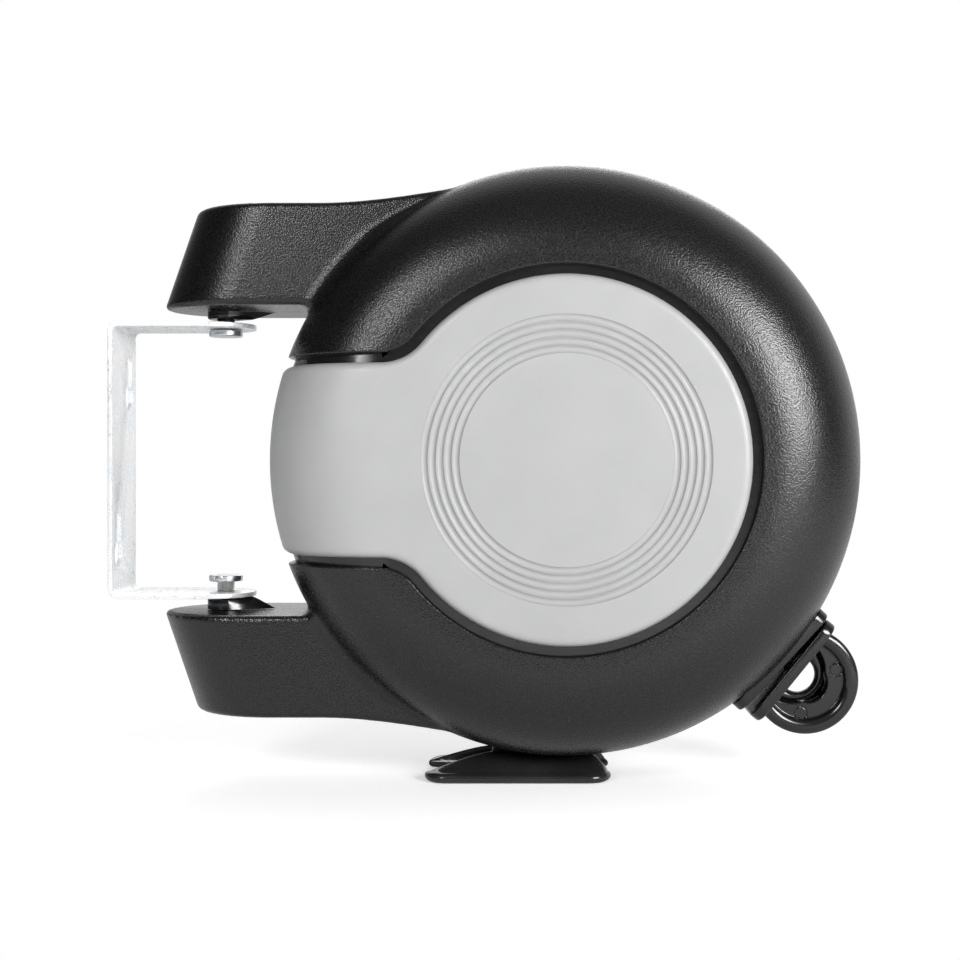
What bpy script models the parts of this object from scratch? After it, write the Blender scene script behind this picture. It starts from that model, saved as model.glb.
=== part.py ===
"""Self-winding twin line reel: a round case that swivels in a steel wall bracket.

Metres, +Z up, +X away from the wall, origin at the middle of the bracket's wall face.
The outlet parts are built in an outlet frame (u outward, y across, t along the plate)
and turned about the reel axis into place.
"""

import math

import bmesh
import bpy
from mathutils import Matrix, Vector

GAP = 0.0003
SEGMENTS = 40

# Case
REEL_X = 0.1975
CASE_RADIUS = 0.127
CASE_HALF_DEPTH = 0.055
CASE_ROUNDING = 0.037
CASE_SPREAD = 0.042
WALL = 0.003
RECESS_DEPTH = 0.0032
CHANNEL_WIDTH = 0.0040

# Keyhole-shaped panel
PANEL_RADIUS = 0.0764
STRIP_HALF_HEIGHT = 0.0400
PANEL_FILLET = 0.0224
PANEL_THICKNESS = 0.0029
GROOVE_RADII = (0.0452, 0.0484, 0.0517, 0.0549, 0.0582)
GROOVE_WIDTH = 0.0020
GROOVE_DEPTH = 0.0010

# Arms of the case
ARM_INNER_Z = 0.066
ARM_OUTER_Z = 0.1094
ARM_HALF_DEPTH = 0.031
ARM_TIP_LENGTH = 0.036
ARM_TIP_X = 0.0210
ARM_TIP_SLOPE = 0.344
ARM_CORNER_RADIUS = 0.0044
ARM_BLEND_LENGTH = 0.060
ARM_BLEND_SLOPE = 0.16
ARM_BLEND_END = 111.0
ARM_SCREW = (0.082, 0.087)

# Wall bracket and pivots
PIVOT_X = 0.0473
STEEL = 0.002
BRACKET_HALF_HEIGHT = 0.060
BRACKET_HALF_WIDTH = 0.019
BRACKET_REACH = 0.0605
BRACKET_BEND = 0.0045
KEYHOLE_OFFSET = 0.0085
KEYHOLE_Z = 0.0346
KEYHOLE_LENGTH = 0.0245
KEYHOLE_ROUND = 0.0060
KEYHOLE_NARROW = 0.0033
PIN_RADIUS = 0.00375
PIN_HEAD_RADIUS = 0.00735
PIN_HEAD_THICKNESS = 0.0028
PIN_END_Z = 0.082
UPPER_HEAD_Z = 0.0576
LOWER_HEAD_Z = 0.0536
BUSH_RADIUS = 0.0080
BUSH_TIP = 0.0220
BUSH_SLEEVE_RADIUS = 0.0065
BUSH_END_Z = 0.084
UPPER_BUSH_FACE_Z = 0.0624
LOWER_BUSH_FACE_Z = 0.0603

# Drum, line and spring
AXLE_RADIUS = 0.005
AXLE_HALF_LENGTH = 0.046
DRUM_HALF_WIDTH = 0.020
DRUM_FLANGE_RADIUS = 0.092
DRUM_HUB_RADIUS = 0.058
DRUM_HUB_WALL = 0.004
FLANGE = 0.002
WINDING_RADIUS = 0.080
LINE_RADIUS = 0.0016
LINE_SPACING = 0.0200
SPRING_TURNS = 5
SPRING_THICKNESS = 0.0008

# Outlet, stop plate and pull handle
OUTLET_ANGLE = math.radians(42.8)
BEZEL_FACE = 0.1289
BEZEL_THICKNESS = 0.0042
BEZEL_HALF_LENGTH = 0.0280
BEZEL_HALF_WIDTH = 0.0240
SPIGOT_HALF_LENGTH = 0.0214
SPIGOT_HALF_WIDTH = 0.0164
SPIGOT_END = 0.1190
STOP_FACE = 0.1298
STOP_THICKNESS = 0.0050
STOP_HALF_LENGTH = 0.0265
STOP_HALF_WIDTH = 0.0230
HANDLE_CENTRE = 0.1418
HANDLE_RADIUS = 0.0234
HANDLE_HALF_WIDTH = 0.0090
HANDLE_RIM = 0.0062
HANDLE_WEB_Y = 0.0060
HANDLE_TILT = math.radians(3.7)
FINGER_CENTRE = HANDLE_CENTRE - 0.0031
FINGER_RADIUS = 0.0078
GRIP_CENTRE = HANDLE_CENTRE - 0.0071
GRIP_RADIUS = 0.0146
GRIP_Y = 0.0045
SLOT_CENTRE = HANDLE_CENTRE + 0.0013
SLOT_RADIUS = 0.0091
BOSS_CIRCLE = 0.0146
BOSS_ANGLE = 58.0
BOSS_RADIUS = 0.0029
KNOT_RADIUS = 0.0030

# Cleat
CLEAT_X = REEL_X - 0.0101
CLEAT_NECK_HALF_LENGTH = 0.0218
CLEAT_NECK_HALF_WIDTH = 0.0060
CLEAT_RIM_HALF_LENGTH = 0.0416
CLEAT_RIM_Y = 0.0229
CLEAT_RIM_X = REEL_X - 0.0204
CLEAT_END_RADIUS = 0.0110
CLEAT_FOOT_Z = -0.1391
CLEAT_RIM_THICKNESS = 0.0040
CLEAT_NECK_Z = -0.1278
TENON_HALF_LENGTH = 0.0100
TENON_HALF_WIDTH = 0.0035

# Case screws: angle about the reel axis, in degrees
SCREW_CIRCLE = 0.1110
SCREW_ANGLES = (14.0, 84.0, 236.0, 290.0)
SCREW_RADIUS = 0.0018
SCREW_HEAD_RADIUS = 0.0037
SCREW_HEAD_Y = 0.0080


def clear_scene():
    for old in list(bpy.data.objects):
        bpy.data.objects.remove(old, do_unlink=True)


def collection(name, hidden):
    made = bpy.data.collections.new(name)
    bpy.context.scene.collection.children.link(made)
    made.hide_render = hidden
    return made


def material(name, colour, metallic, roughness):
    made = bpy.data.materials.new(name)
    made.use_nodes = True
    shader = made.node_tree.nodes["Principled BSDF"]
    shader.inputs["Base Color"].default_value = (*colour, 1.0)
    shader.inputs["Metallic"].default_value = metallic
    shader.inputs["Roughness"].default_value = roughness
    return made


def finish_mesh(name, bm, smooth):
    bmesh.ops.recalc_face_normals(bm, faces=bm.faces)
    mesh = bpy.data.meshes.new(name)
    bm.to_mesh(mesh)
    bm.free()
    if smooth:
        mesh.shade_smooth()
        mesh.set_sharp_from_angle(angle=math.radians(32.0))
    return mesh


def part(name, bm, look, smooth=True):
    obj = bpy.data.objects.new(name, finish_mesh(name, bm, smooth))
    obj.data.materials.append(look)
    PARTS.objects.link(obj)
    return obj


def helper(name, bm):
    obj = bpy.data.objects.new(name, finish_mesh(name, bm, False))
    obj.display_type = "WIRE"
    obj.hide_render = True
    CUTTERS.objects.link(obj)
    return obj


def boolean(obj, other, operation):
    step = obj.modifiers.new(other.name, "BOOLEAN")
    step.operation = operation
    step.solver = "EXACT"
    step.object = other


def loft(bm, rings):
    """A closed solid through rings of points, flat at both ends."""
    loops = [[bm.verts.new(point) for point in ring] for ring in rings]
    bm.faces.new(loops[0])
    bm.faces.new(reversed(loops[-1]))
    for first, second in zip(loops, loops[1:]):
        for i in range(len(first)):
            j = (i + 1) % len(first)
            bm.faces.new((first[j], first[i], second[i], second[j]))


def place(bm, matrix, since=0):
    bm.verts.ensure_lookup_table()
    bmesh.ops.transform(bm, matrix=matrix, verts=bm.verts[since:])


def add_box(bm, low, high, matrix=None):
    since = len(bm.verts)
    ring = [(low[0], low[1]), (high[0], low[1]), (high[0], high[1]), (low[0], high[1])]
    loft(bm, [[(x, y, z) for x, y in ring] for z in (low[2], high[2])])
    if matrix:
        place(bm, matrix, since)


def add_steps(bm, start, direction, steps, segments=16):
    """A turned solid along a direction: steps holds (distance, radius) pairs."""
    turn = Vector((0, 0, 1)).rotation_difference(Vector(direction)).to_matrix()
    rings = []
    for distance, radius in steps:
        ring = []
        for i in range(segments):
            angle = 2 * math.pi * (i + 0.5) / segments
            point = Vector((radius * math.cos(angle), radius * math.sin(angle), distance))
            ring.append(turn @ point + Vector(start))
        rings.append(ring)
    loft(bm, rings)


def add_ring(bm, profile, centre, segments=SEGMENTS):
    """Turns a closed profile of (radius, y) about the Y axis through a centre (x, z)."""
    loops = []
    for i in range(segments):
        angle = 2 * math.pi * i / segments
        x, z = math.cos(angle), math.sin(angle)
        loops.append(
            [bm.verts.new((centre[0] + r * x, y, centre[1] + r * z)) for r, y in profile]
        )
    for i in range(segments):
        first, second = loops[i], loops[(i + 1) % segments]
        for j in range(len(profile)):
            k = (j + 1) % len(profile)
            bm.faces.new((first[j], first[k], second[k], second[j]))


def add_disc(bm, profile, centre, segments=SEGMENTS):
    """Turns an open profile of (radius, y) about the Y axis and closes both ends flat."""
    rings = []
    for r, y in profile:
        ring = []
        for i in range(segments):
            angle = 2 * math.pi * i / segments
            ring.append((centre[0] + r * math.cos(angle), y, centre[1] + r * math.sin(angle)))
        rings.append(ring)
    loft(bm, rings)


def add_prism(bm, outline, y0, y1):
    """Extrudes an outline of (x, z) points along Y."""
    loft(bm, [[(x, y, z) for x, z in outline] for y in (y0, y1)])


def arc(centre, radius, start, end, count):
    points = []
    for i in range(count + 1):
        angle = math.radians(start + (end - start) * i / count)
        points.append(
            (centre[0] + radius * math.cos(angle), centre[1] + radius * math.sin(angle))
        )
    return points


def case_profile(inset, side, past=0.0):
    """Outer shape of one half of the case, moved inward by inset."""
    bend_r = CASE_RADIUS - CASE_SPREAD
    bend_y = CASE_HALF_DEPTH - CASE_ROUNDING
    points = []
    for i in range(6):
        turn = math.radians(90.0 - 18.0 * i)
        r = bend_r + (CASE_SPREAD - inset) * math.cos(turn)
        y = bend_y + (CASE_ROUNDING - inset) * math.sin(turn)
        points.append((r, side * y))
    return points + [(CASE_RADIUS - inset, -side * past)]


def keyhole_outline(grow, left):
    """Outline of the disc and of the strip that runs from it to the left rim."""
    radius = PANEL_RADIUS + grow
    half = STRIP_HALF_HEIGHT + grow
    fillet = PANEL_FILLET - grow
    reach = radius + fillet
    rise = half + fillet
    run = math.sqrt(reach**2 - rise**2)
    meet = math.degrees(math.atan2(rise, -run))
    corner = (REEL_X - run, rise)
    upper = [(left, half)]
    upper += arc(corner, fillet, 270.0, meet + 180.0, 4)
    disc = arc((REEL_X, 0.0), radius, meet, -meet, 40)
    lower = [(x, -z) for x, z in reversed(upper)]
    return upper + disc[1:-1] + lower


def arm_outline(inset):
    """Side view of the upper arm, with its fillet below and its long blend above."""
    bottom = ARM_INNER_Z + inset
    top = ARM_OUTER_Z - inset
    left = ARM_TIP_X - 0.010
    radius = ARM_CORNER_RADIUS - 0.5 * inset
    reach = CASE_RADIUS + radius
    rise = bottom - radius
    run = math.sqrt(reach**2 - rise**2)
    corner = (REEL_X - run, rise)
    meet = math.degrees(math.atan2(-rise, run))
    under = arc(corner, radius, meet, 90.0, 4)
    bend_y = CASE_HALF_DEPTH - CASE_ROUNDING
    share = (ARM_HALF_DEPTH - bend_y) / CASE_ROUNDING
    meet_r = CASE_RADIUS - CASE_SPREAD * (1 - math.sqrt(1 - share**2)) - inset
    end_point = arc((REEL_X, 0.0), meet_r, ARM_BLEND_END, ARM_BLEND_END, 1)[0]
    over = []
    for i in range(7):
        s = i / 6
        x = end_point[0] - ARM_BLEND_LENGTH * s
        drop = end_point[1] - top
        ease = (1 - s) ** 2
        lift = ARM_BLEND_SLOPE * ARM_BLEND_LENGTH * s * (1 - s) ** 2
        over.append((x, top + drop * ease * (1 + 2 * s) - lift))
    inside = [(REEL_X - 0.030 - inset, 0.100 - inset), (REEL_X - 0.080 + inset, 0.050)]
    return inside + under + [(left, bottom), (left, top)] + list(reversed(over))


def add_arm(bm, inset, sign):
    """One arm: its side view, rounded in plan at its tip and leaning back to the top."""
    since = len(bm.verts)
    add_prism(bm, arm_outline(inset), -ARM_HALF_DEPTH + inset, ARM_HALF_DEPTH - inset)
    if sign < 0:
        place(bm, Matrix.Scale(-1.0, 4, (0, 0, 1)), since)


def add_arm_plan(bm, inset, sign):
    """Plan shape that trims an arm's tip to a half ellipse."""
    half = ARM_HALF_DEPTH - inset
    length = ARM_TIP_LENGTH - inset
    rings = []
    for z in (0.050, 0.135):
        tip = ARM_TIP_X + inset + ARM_TIP_SLOPE * (z - ARM_INNER_Z)
        ring = [(tip + length * (1 + x), half * y) for x, y in arc((0, 0), 1.0, 90.0, 270.0, 16)]
        ring += [(REEL_X, -half - 0.002), (REEL_X, half + 0.002)]
        rings.append([(x, y, sign * z) for x, y in ring])
    loft(bm, rings)


def arms(name, inset):
    """Both arms as one helper."""
    bm = bmesh.new()
    plan = bmesh.new()
    for sign in (1, -1):
        add_arm(bm, inset, sign)
        add_arm_plan(plan, inset - GAP / 10, sign)
    obj = helper(name, bm)
    boolean(obj, helper(name + "_plan", plan), "INTERSECT")
    return obj


def outlet_frame(angle=OUTLET_ANGLE):
    return Matrix.Translation((REEL_X, 0, 0)) @ Matrix.Rotation(angle, 4, "Y")


def handle_frame():
    """Outlet frame with the handle's small tilt, as it rests with one end near the bezel."""
    pivot = Matrix.Translation((STOP_FACE, 0, STOP_HALF_LENGTH))
    return outlet_frame() @ pivot @ Matrix.Rotation(-HANDLE_TILT, 4, "Y") @ pivot.inverted()


def rounded_plate(half_t, half_y, radius):
    """Outline of a plate in the outlet frame's y and t."""
    points = []
    for sy, st, start in ((1, 1, 0.0), (-1, 1, 90.0), (-1, -1, 180.0), (1, -1, 270.0)):
        centre = (sy * (half_y - radius), st * (half_t - radius))
        points += arc(centre, radius, start, start + 90.0, 4)
    return points


def add_plate(bm, outline, u0, u1, matrix):
    since = len(bm.verts)
    loft(bm, [[(u, y, t) for y, t in outline] for u in (u0, u1)])
    place(bm, matrix, since)


def screw_points():
    """Case screws about the reel axis, then one in each arm."""
    points = []
    for angle in SCREW_ANGLES:
        points += arc((REEL_X, 0.0), SCREW_CIRCLE, angle, angle, 1)[:1]
    return points + [(ARM_SCREW[0], ARM_SCREW[1]), (ARM_SCREW[0], -ARM_SCREW[1])]


def case_solid(name, inset, side, past):
    bm = bmesh.new()
    add_disc(bm, case_profile(inset, side, past), (REEL_X, 0.0))
    return helper(name, bm)


def inner_supports(name, side):
    """Axle boss, outlet frame and screw pillars, trimmed to stay inside the wall."""
    bm = bmesh.new()
    add_steps(bm, (REEL_X, side * 0.0212, 0), (0, side, 0), ((0, 0.011), (0.036, 0.011)))
    add_box(bm, (0.118, -0.028, -0.032), (0.135, 0.028, 0.032), outlet_frame())
    for x, z in screw_points()[:4]:
        add_steps(bm, (x, 0, z), (0, side, 0), ((-0.002, 0.0062), (0.060, 0.0062)), 12)
    obj = helper(name, bm)
    boolean(obj, case_solid(name + "_trim", 0.0013, side, 0.004), "INTERSECT")
    return obj


def arm_supports(name, side):
    """Pivot blocks and screw pillars inside the arms."""
    bm = bmesh.new()
    for sign in (1, -1):
        start = (PIVOT_X, 0, sign * (ARM_INNER_Z + 0.001))
        add_steps(bm, start, (0, 0, sign), ((0, 0.011), (0.020, 0.011)), 16)
    for x, z in screw_points()[4:]:
        add_steps(bm, (x, 0, z), (0, side, 0), ((-0.002, 0.0062), (0.029, 0.0062)), 12)
    return helper(name, bm)


def panel_recess(name, side):
    """Keyhole-shaped channel floor, sunk below the outer shape."""
    bm = bmesh.new()
    outline = keyhole_outline(CHANNEL_WIDTH, REEL_X - CASE_RADIUS - 0.006)
    add_prism(bm, outline, -side * 0.002, side * 0.060)
    obj = helper(name, bm)
    boolean(obj, case_solid(name + "_floor", RECESS_DEPTH, side, 0.004), "DIFFERENCE")
    return obj


def thin_cavity(name, side):
    """Cavity behind the plain wall, stopping short of the recess."""
    obj = case_solid(name, WALL, side, 0.0014)
    bm = bmesh.new()
    outline = keyhole_outline(CHANNEL_WIDTH + WALL, REEL_X - CASE_RADIUS - 0.006)
    add_prism(bm, outline, -side * 0.003, side * 0.060)
    boolean(obj, helper(name + "_keep", bm), "DIFFERENCE")
    return obj


def shell_holes(name, side):
    """Outlet opening, bush holes, cleat slot, axle socket and screw holes."""
    bm = bmesh.new()
    add_box(
        bm,
        (0.110, -SPIGOT_HALF_WIDTH - GAP, -SPIGOT_HALF_LENGTH - GAP),
        (0.140, SPIGOT_HALF_WIDTH + GAP, SPIGOT_HALF_LENGTH + GAP),
        outlet_frame(),
    )
    for sign in (1, -1):
        depth = BUSH_END_Z + 2 * GAP - 0.060
        hole = ((0, BUSH_SLEEVE_RADIUS + GAP), (depth, BUSH_SLEEVE_RADIUS + GAP))
        add_steps(bm, (PIVOT_X, 0, sign * 0.060), (0, 0, sign), hole)
    length = TENON_HALF_LENGTH + GAP
    width = TENON_HALF_WIDTH + GAP
    add_box(bm, (CLEAT_X - length, -width, -0.133), (CLEAT_X + length, width, -0.122))
    socket = ((0, AXLE_RADIUS + GAP), (AXLE_HALF_LENGTH + GAP - 0.019, AXLE_RADIUS + GAP))
    add_steps(bm, (REEL_X, side * 0.019, 0), (0, side, 0), socket, 16)
    for x, z in screw_points():
        if side > 0:
            hole = (
                (-0.004, SCREW_RADIUS + GAP),
                (SCREW_HEAD_Y - GAP, SCREW_RADIUS + GAP),
                (SCREW_HEAD_Y - GAP, SCREW_HEAD_RADIUS + GAP),
                (0.060, SCREW_HEAD_RADIUS + GAP),
            )
        else:
            hole = ((-0.004, SCREW_RADIUS + GAP), (0.0145, SCREW_RADIUS + GAP))
        add_steps(bm, (x, 0, z), (0, side, 0), hole, 12)
    return helper(name, bm)


def bezel_pocket(name):
    bm = bmesh.new()
    outline = rounded_plate(BEZEL_HALF_LENGTH + GAP, BEZEL_HALF_WIDTH + GAP, 0.0063)
    seat = BEZEL_FACE - BEZEL_THICKNESS - GAP
    add_plate(bm, outline, seat, 0.150, outlet_frame())
    return helper(name, bm)


def split_block(name, side):
    """Everything past the joint plane of a half shell."""
    bm = bmesh.new()
    low, high = sorted((side * GAP / 2, -side * 0.080))
    add_box(bm, (-0.050, low, -0.200), (0.400, high, 0.200))
    return helper(name, bm)


def build_shell(name, side):
    bm = bmesh.new()
    add_disc(bm, case_profile(0.0, side, 0.0), (REEL_X, 0.0))
    shell = part(name, bm, GRAINED)
    boolean(shell, ARMS_OUTER, "UNION")
    boolean(shell, case_solid(name + "_deep", WALL + RECESS_DEPTH, side, 0.001), "DIFFERENCE")
    boolean(shell, thin_cavity(name + "_thin", side), "DIFFERENCE")
    boolean(shell, ARMS_INNER, "DIFFERENCE")
    boolean(shell, inner_supports(name + "_supports", side), "UNION")
    boolean(shell, arm_supports(name + "_arm_supports", side), "UNION")
    boolean(shell, panel_recess(name + "_recess", side), "DIFFERENCE")
    boolean(shell, BEZEL_POCKET, "DIFFERENCE")
    boolean(shell, shell_holes(name + "_holes", side), "DIFFERENCE")
    boolean(shell, split_block(name + "_split", side), "DIFFERENCE")


def build_panel(name, side):
    bm = bmesh.new()
    outline = keyhole_outline(0.0, REEL_X - CASE_RADIUS - 0.006)
    add_prism(bm, outline, side * GAP / 2, side * 0.060)
    panel = part(name, bm, PANEL_GREY)
    boolean(panel, case_solid(name + "_skin", 0.0, side, 0.002), "INTERSECT")
    boolean(panel, case_solid(name + "_back", PANEL_THICKNESS, side, 0.004), "DIFFERENCE")
    grooves = bmesh.new()
    face = side * CASE_HALF_DEPTH
    for radius in GROOVE_RADII:
        profile = (
            (radius - GROOVE_WIDTH, face + side * GROOVE_DEPTH),
            (radius + GROOVE_WIDTH, face + side * GROOVE_DEPTH),
            (radius, face - side * GROOVE_DEPTH),
        )
        add_ring(grooves, profile, (REEL_X, 0.0), 36)
    boolean(panel, helper(name + "_grooves", grooves), "DIFFERENCE")


def bracket_outline():
    """Side view of the bent steel strip, inner face last."""
    half = BRACKET_HALF_HEIGHT
    bend = BRACKET_BEND
    inner = bend - STEEL
    end = BRACKET_REACH + 0.004
    outer = arc((bend, half - bend), bend, 90.0, 180.0, 4)
    outer += arc((bend, bend - half), bend, 180.0, 270.0, 4)
    inside = arc((bend, bend - half), inner, 270.0, 180.0, 4)
    inside += arc((bend, half - bend), inner, 180.0, 90.0, 4)
    ends = [(end, -half), (end, STEEL - half)]
    return [(end, half)] + outer + ends + inside + [(end, half - STEEL)]


def keyhole(bm, y, top):
    """Screw slot through the web: round below, narrow above."""
    low = top - KEYHOLE_LENGTH + KEYHOLE_ROUND
    high = top - KEYHOLE_NARROW
    meet = math.degrees(math.acos(KEYHOLE_NARROW / KEYHOLE_ROUND))
    ring = arc((y, low), KEYHOLE_ROUND, meet, -180.0 - meet, 12)
    ring += arc((y, high), KEYHOLE_NARROW, 180.0, 0.0, 6)
    loft(bm, [[(x, py, pz) for py, pz in ring] for x in (-0.005, 0.010)])


def build_bracket():
    bm = bmesh.new()
    add_prism(bm, bracket_outline(), -BRACKET_HALF_WIDTH, BRACKET_HALF_WIDTH)
    bracket = part("wall_bracket", bm, ZINC)
    plan = bmesh.new()
    centre = BRACKET_REACH - BRACKET_HALF_WIDTH
    ring = [(-0.005, 0.030), (-0.005, -0.030), (centre - 0.001, -0.030)]
    ring += [(centre - 0.001, -BRACKET_HALF_WIDTH)]
    ring += arc((centre, 0.0), BRACKET_HALF_WIDTH, -90.0, 90.0, 16)
    ring += [(centre - 0.001, BRACKET_HALF_WIDTH), (centre - 0.001, 0.030)]
    loft(plan, [[(x, y, z) for x, y in ring] for z in (-0.080, 0.080)])
    boolean(bracket, helper("bracket_plan", plan), "INTERSECT")
    holes = bmesh.new()
    for sign in (1, -1):
        hole = ((0, PIN_RADIUS + GAP), (0.020, PIN_RADIUS + GAP))
        add_steps(holes, (PIVOT_X, 0, sign * 0.050), (0, 0, sign), hole)
    keyhole(holes, KEYHOLE_OFFSET, KEYHOLE_Z + KEYHOLE_LENGTH / 2)
    keyhole(holes, -KEYHOLE_OFFSET, -KEYHOLE_Z + KEYHOLE_LENGTH / 2)
    boolean(bracket, helper("bracket_holes", holes), "DIFFERENCE")


def build_pin(name, sign, head_z):
    bm = bmesh.new()
    head = PIN_HEAD_RADIUS
    inner = head_z - PIN_HEAD_THICKNESS
    steps = (
        (inner, head - 0.0006),
        (inner + 0.0006, head),
        (head_z - 0.0006, head),
        (head_z, head - 0.0006),
        (head_z, PIN_RADIUS),
        (PIN_END_Z - 0.001, PIN_RADIUS),
        (PIN_END_Z, PIN_RADIUS - 0.001),
    )
    add_steps(bm, (PIVOT_X, 0, 0), (0, 0, sign), steps)
    return part(name, bm, ZINC)


def build_bush(name, sign, face_z):
    """Pivot bush: a sleeve in the arm under a boss that tapers to a point."""
    seat = ARM_INNER_Z - GAP
    run = math.acos(BUSH_RADIUS / BUSH_TIP)
    tangent = math.degrees(run)
    round_part = arc((PIVOT_X, 0.0), BUSH_RADIUS, tangent, 360.0 - tangent, 14)
    base = round_part + [(PIVOT_X + BUSH_TIP, 0.0)]
    top = round_part + [(PIVOT_X + BUSH_RADIUS + 0.0040, 0.0)]
    bm = bmesh.new()
    loft(bm, [[(x, y, sign * face_z) for x, y in top], [(x, y, sign * seat) for x, y in base]])
    bush = part(name, bm, GLOSS_BLACK)
    sleeve = bmesh.new()
    start = seat - 0.002
    steps = ((0, BUSH_SLEEVE_RADIUS), (BUSH_END_Z - start, BUSH_SLEEVE_RADIUS))
    add_steps(sleeve, (PIVOT_X, 0, sign * start), (0, 0, sign), steps)
    boolean(bush, helper(name + "_sleeve", sleeve), "UNION")
    bore = bmesh.new()
    steps = ((0, PIN_RADIUS + GAP), (PIN_END_Z + GAP - 0.055, PIN_RADIUS + GAP))
    add_steps(bore, (PIVOT_X, 0, sign * 0.055), (0, 0, sign), steps)
    boolean(bush, helper(name + "_bore", bore), "DIFFERENCE")


def drum_profile():
    """Closed (radius, y) section: bored web, open hub and three flanges."""
    half = DRUM_HALF_WIDTH
    inner = DRUM_HUB_RADIUS - DRUM_HUB_WALL
    bore = AXLE_RADIUS + GAP
    profile = [(bore, 0.003), (inner, 0.003), (inner, -half)]
    for i, y in enumerate((-half, -FLANGE / 2, half - FLANGE)):
        if i > 0:
            profile.append((DRUM_HUB_RADIUS, y))
        profile += [(DRUM_FLANGE_RADIUS, y), (DRUM_FLANGE_RADIUS, y + FLANGE)]
        if i < 2:
            profile.append((DRUM_HUB_RADIUS, y + FLANGE))
    return profile + [(inner, half), (inner, 0.006), (0.010, 0.006), (0.010, half), (bore, half)]


def build_drum():
    bm = bmesh.new()
    add_ring(bm, drum_profile(), (REEL_X, 0.0), 36)
    part("drum", bm, DRUM_GREY)
    low = GAP - DRUM_HALF_WIDTH
    high = low + FLANGE
    bore = AXLE_RADIUS + GAP
    edge = DRUM_HUB_RADIUS - DRUM_HUB_WALL - GAP
    bm = bmesh.new()
    add_ring(bm, [(bore, low), (edge, low), (edge, high), (bore, high)], (REEL_X, 0.0), 36)
    part("spring_cover", bm, DRUM_GREY)


def build_windings():
    """The line wound in each of the drum's two bays, as one ring per bay."""
    inner = FLANGE / 2 + GAP
    outer = DRUM_HALF_WIDTH - FLANGE - GAP
    middle = (inner + outer) / 2
    near = DRUM_HUB_RADIUS + GAP
    far = WINDING_RADIUS
    for name, side in (("line_winding_front", -1), ("line_winding_rear", 1)):
        section = [(near, inner), (far - 0.001, inner), (far, middle), (far - 0.001, outer)]
        section.append((near, outer))
        bm = bmesh.new()
        add_ring(bm, [(r, side * y) for r, y in section], (REEL_X, 0.0), 36)
        part(name, bm, LINE_BLACK)


def build_spring():
    """Flat spiral mainspring between the arbor and the drum's hub."""
    inner, outer = 0.0098, DRUM_HUB_RADIUS - DRUM_HUB_WALL - 0.0009
    count = SPRING_TURNS * 16
    rings = []
    for i in range(count + 1):
        angle = 2 * math.pi * i / 16
        radius = inner + (outer - inner) * i / count
        ring = []
        for r, y in ((0, -0.0155), (SPRING_THICKNESS, -0.0155), (SPRING_THICKNESS, 0.0), (0, 0.0)):
            x = REEL_X + (radius + r - SPRING_THICKNESS / 2) * math.cos(angle)
            ring.append((x, y, (radius + r - SPRING_THICKNESS / 2) * math.sin(angle)))
        rings.append(ring)
    bm = bmesh.new()
    loft(bm, rings)
    part("mainspring", bm, SPRING_STEEL)


def build_axle():
    bm = bmesh.new()
    half = AXLE_HALF_LENGTH
    chamfer = 0.0007
    steps = (
        (-half, AXLE_RADIUS - chamfer),
        (chamfer - half, AXLE_RADIUS),
        (half - chamfer, AXLE_RADIUS),
        (half, AXLE_RADIUS - chamfer),
    )
    add_steps(bm, (REEL_X, 0, 0), (0, 1, 0), steps, 16)
    part("axle", bm, ZINC)
    bm = bmesh.new()
    bore = AXLE_RADIUS + GAP
    edge = 0.0088
    section = [(bore, -0.0165), (edge, -0.0165), (edge, 0.0015), (bore, 0.0015)]
    add_ring(bm, section, (REEL_X, 0.0), 24)
    part("spring_arbor", bm, ZINC)


def line_holes(name, radius, u0, u1, matrix):
    bm = bmesh.new()
    steps = ((0, radius), (u1 - u0, radius))
    for side in (-1, 1):
        add_steps(bm, (u0, side * LINE_SPACING / 2, 0), (1, 0, 0), steps, 12)
    place(bm, matrix)
    return helper(name, bm)


def build_bezel():
    seat = BEZEL_FACE - BEZEL_THICKNESS
    bm = bmesh.new()
    outline = rounded_plate(BEZEL_HALF_LENGTH, BEZEL_HALF_WIDTH, 0.006)
    inset = rounded_plate(BEZEL_HALF_LENGTH - 0.0008, BEZEL_HALF_WIDTH - 0.0008, 0.0052)
    rings = [(seat, outline), (BEZEL_FACE - 0.0008, outline), (BEZEL_FACE, inset)]
    loft(bm, [[(u, y, t) for y, t in ring] for u, ring in rings])
    place(bm, outlet_frame())
    bezel = part("outlet_bezel", bm, GLOSS_BLACK)
    bm = bmesh.new()
    add_box(
        bm,
        (SPIGOT_END, -SPIGOT_HALF_WIDTH, -SPIGOT_HALF_LENGTH),
        (seat + 0.001, SPIGOT_HALF_WIDTH, SPIGOT_HALF_LENGTH),
        outlet_frame(),
    )
    boolean(bezel, helper("bezel_spigot", bm), "UNION")
    holes = line_holes("bezel_holes", LINE_RADIUS + 0.0006, 0.110, 0.140, outlet_frame())
    boolean(bezel, holes, "DIFFERENCE")


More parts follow.
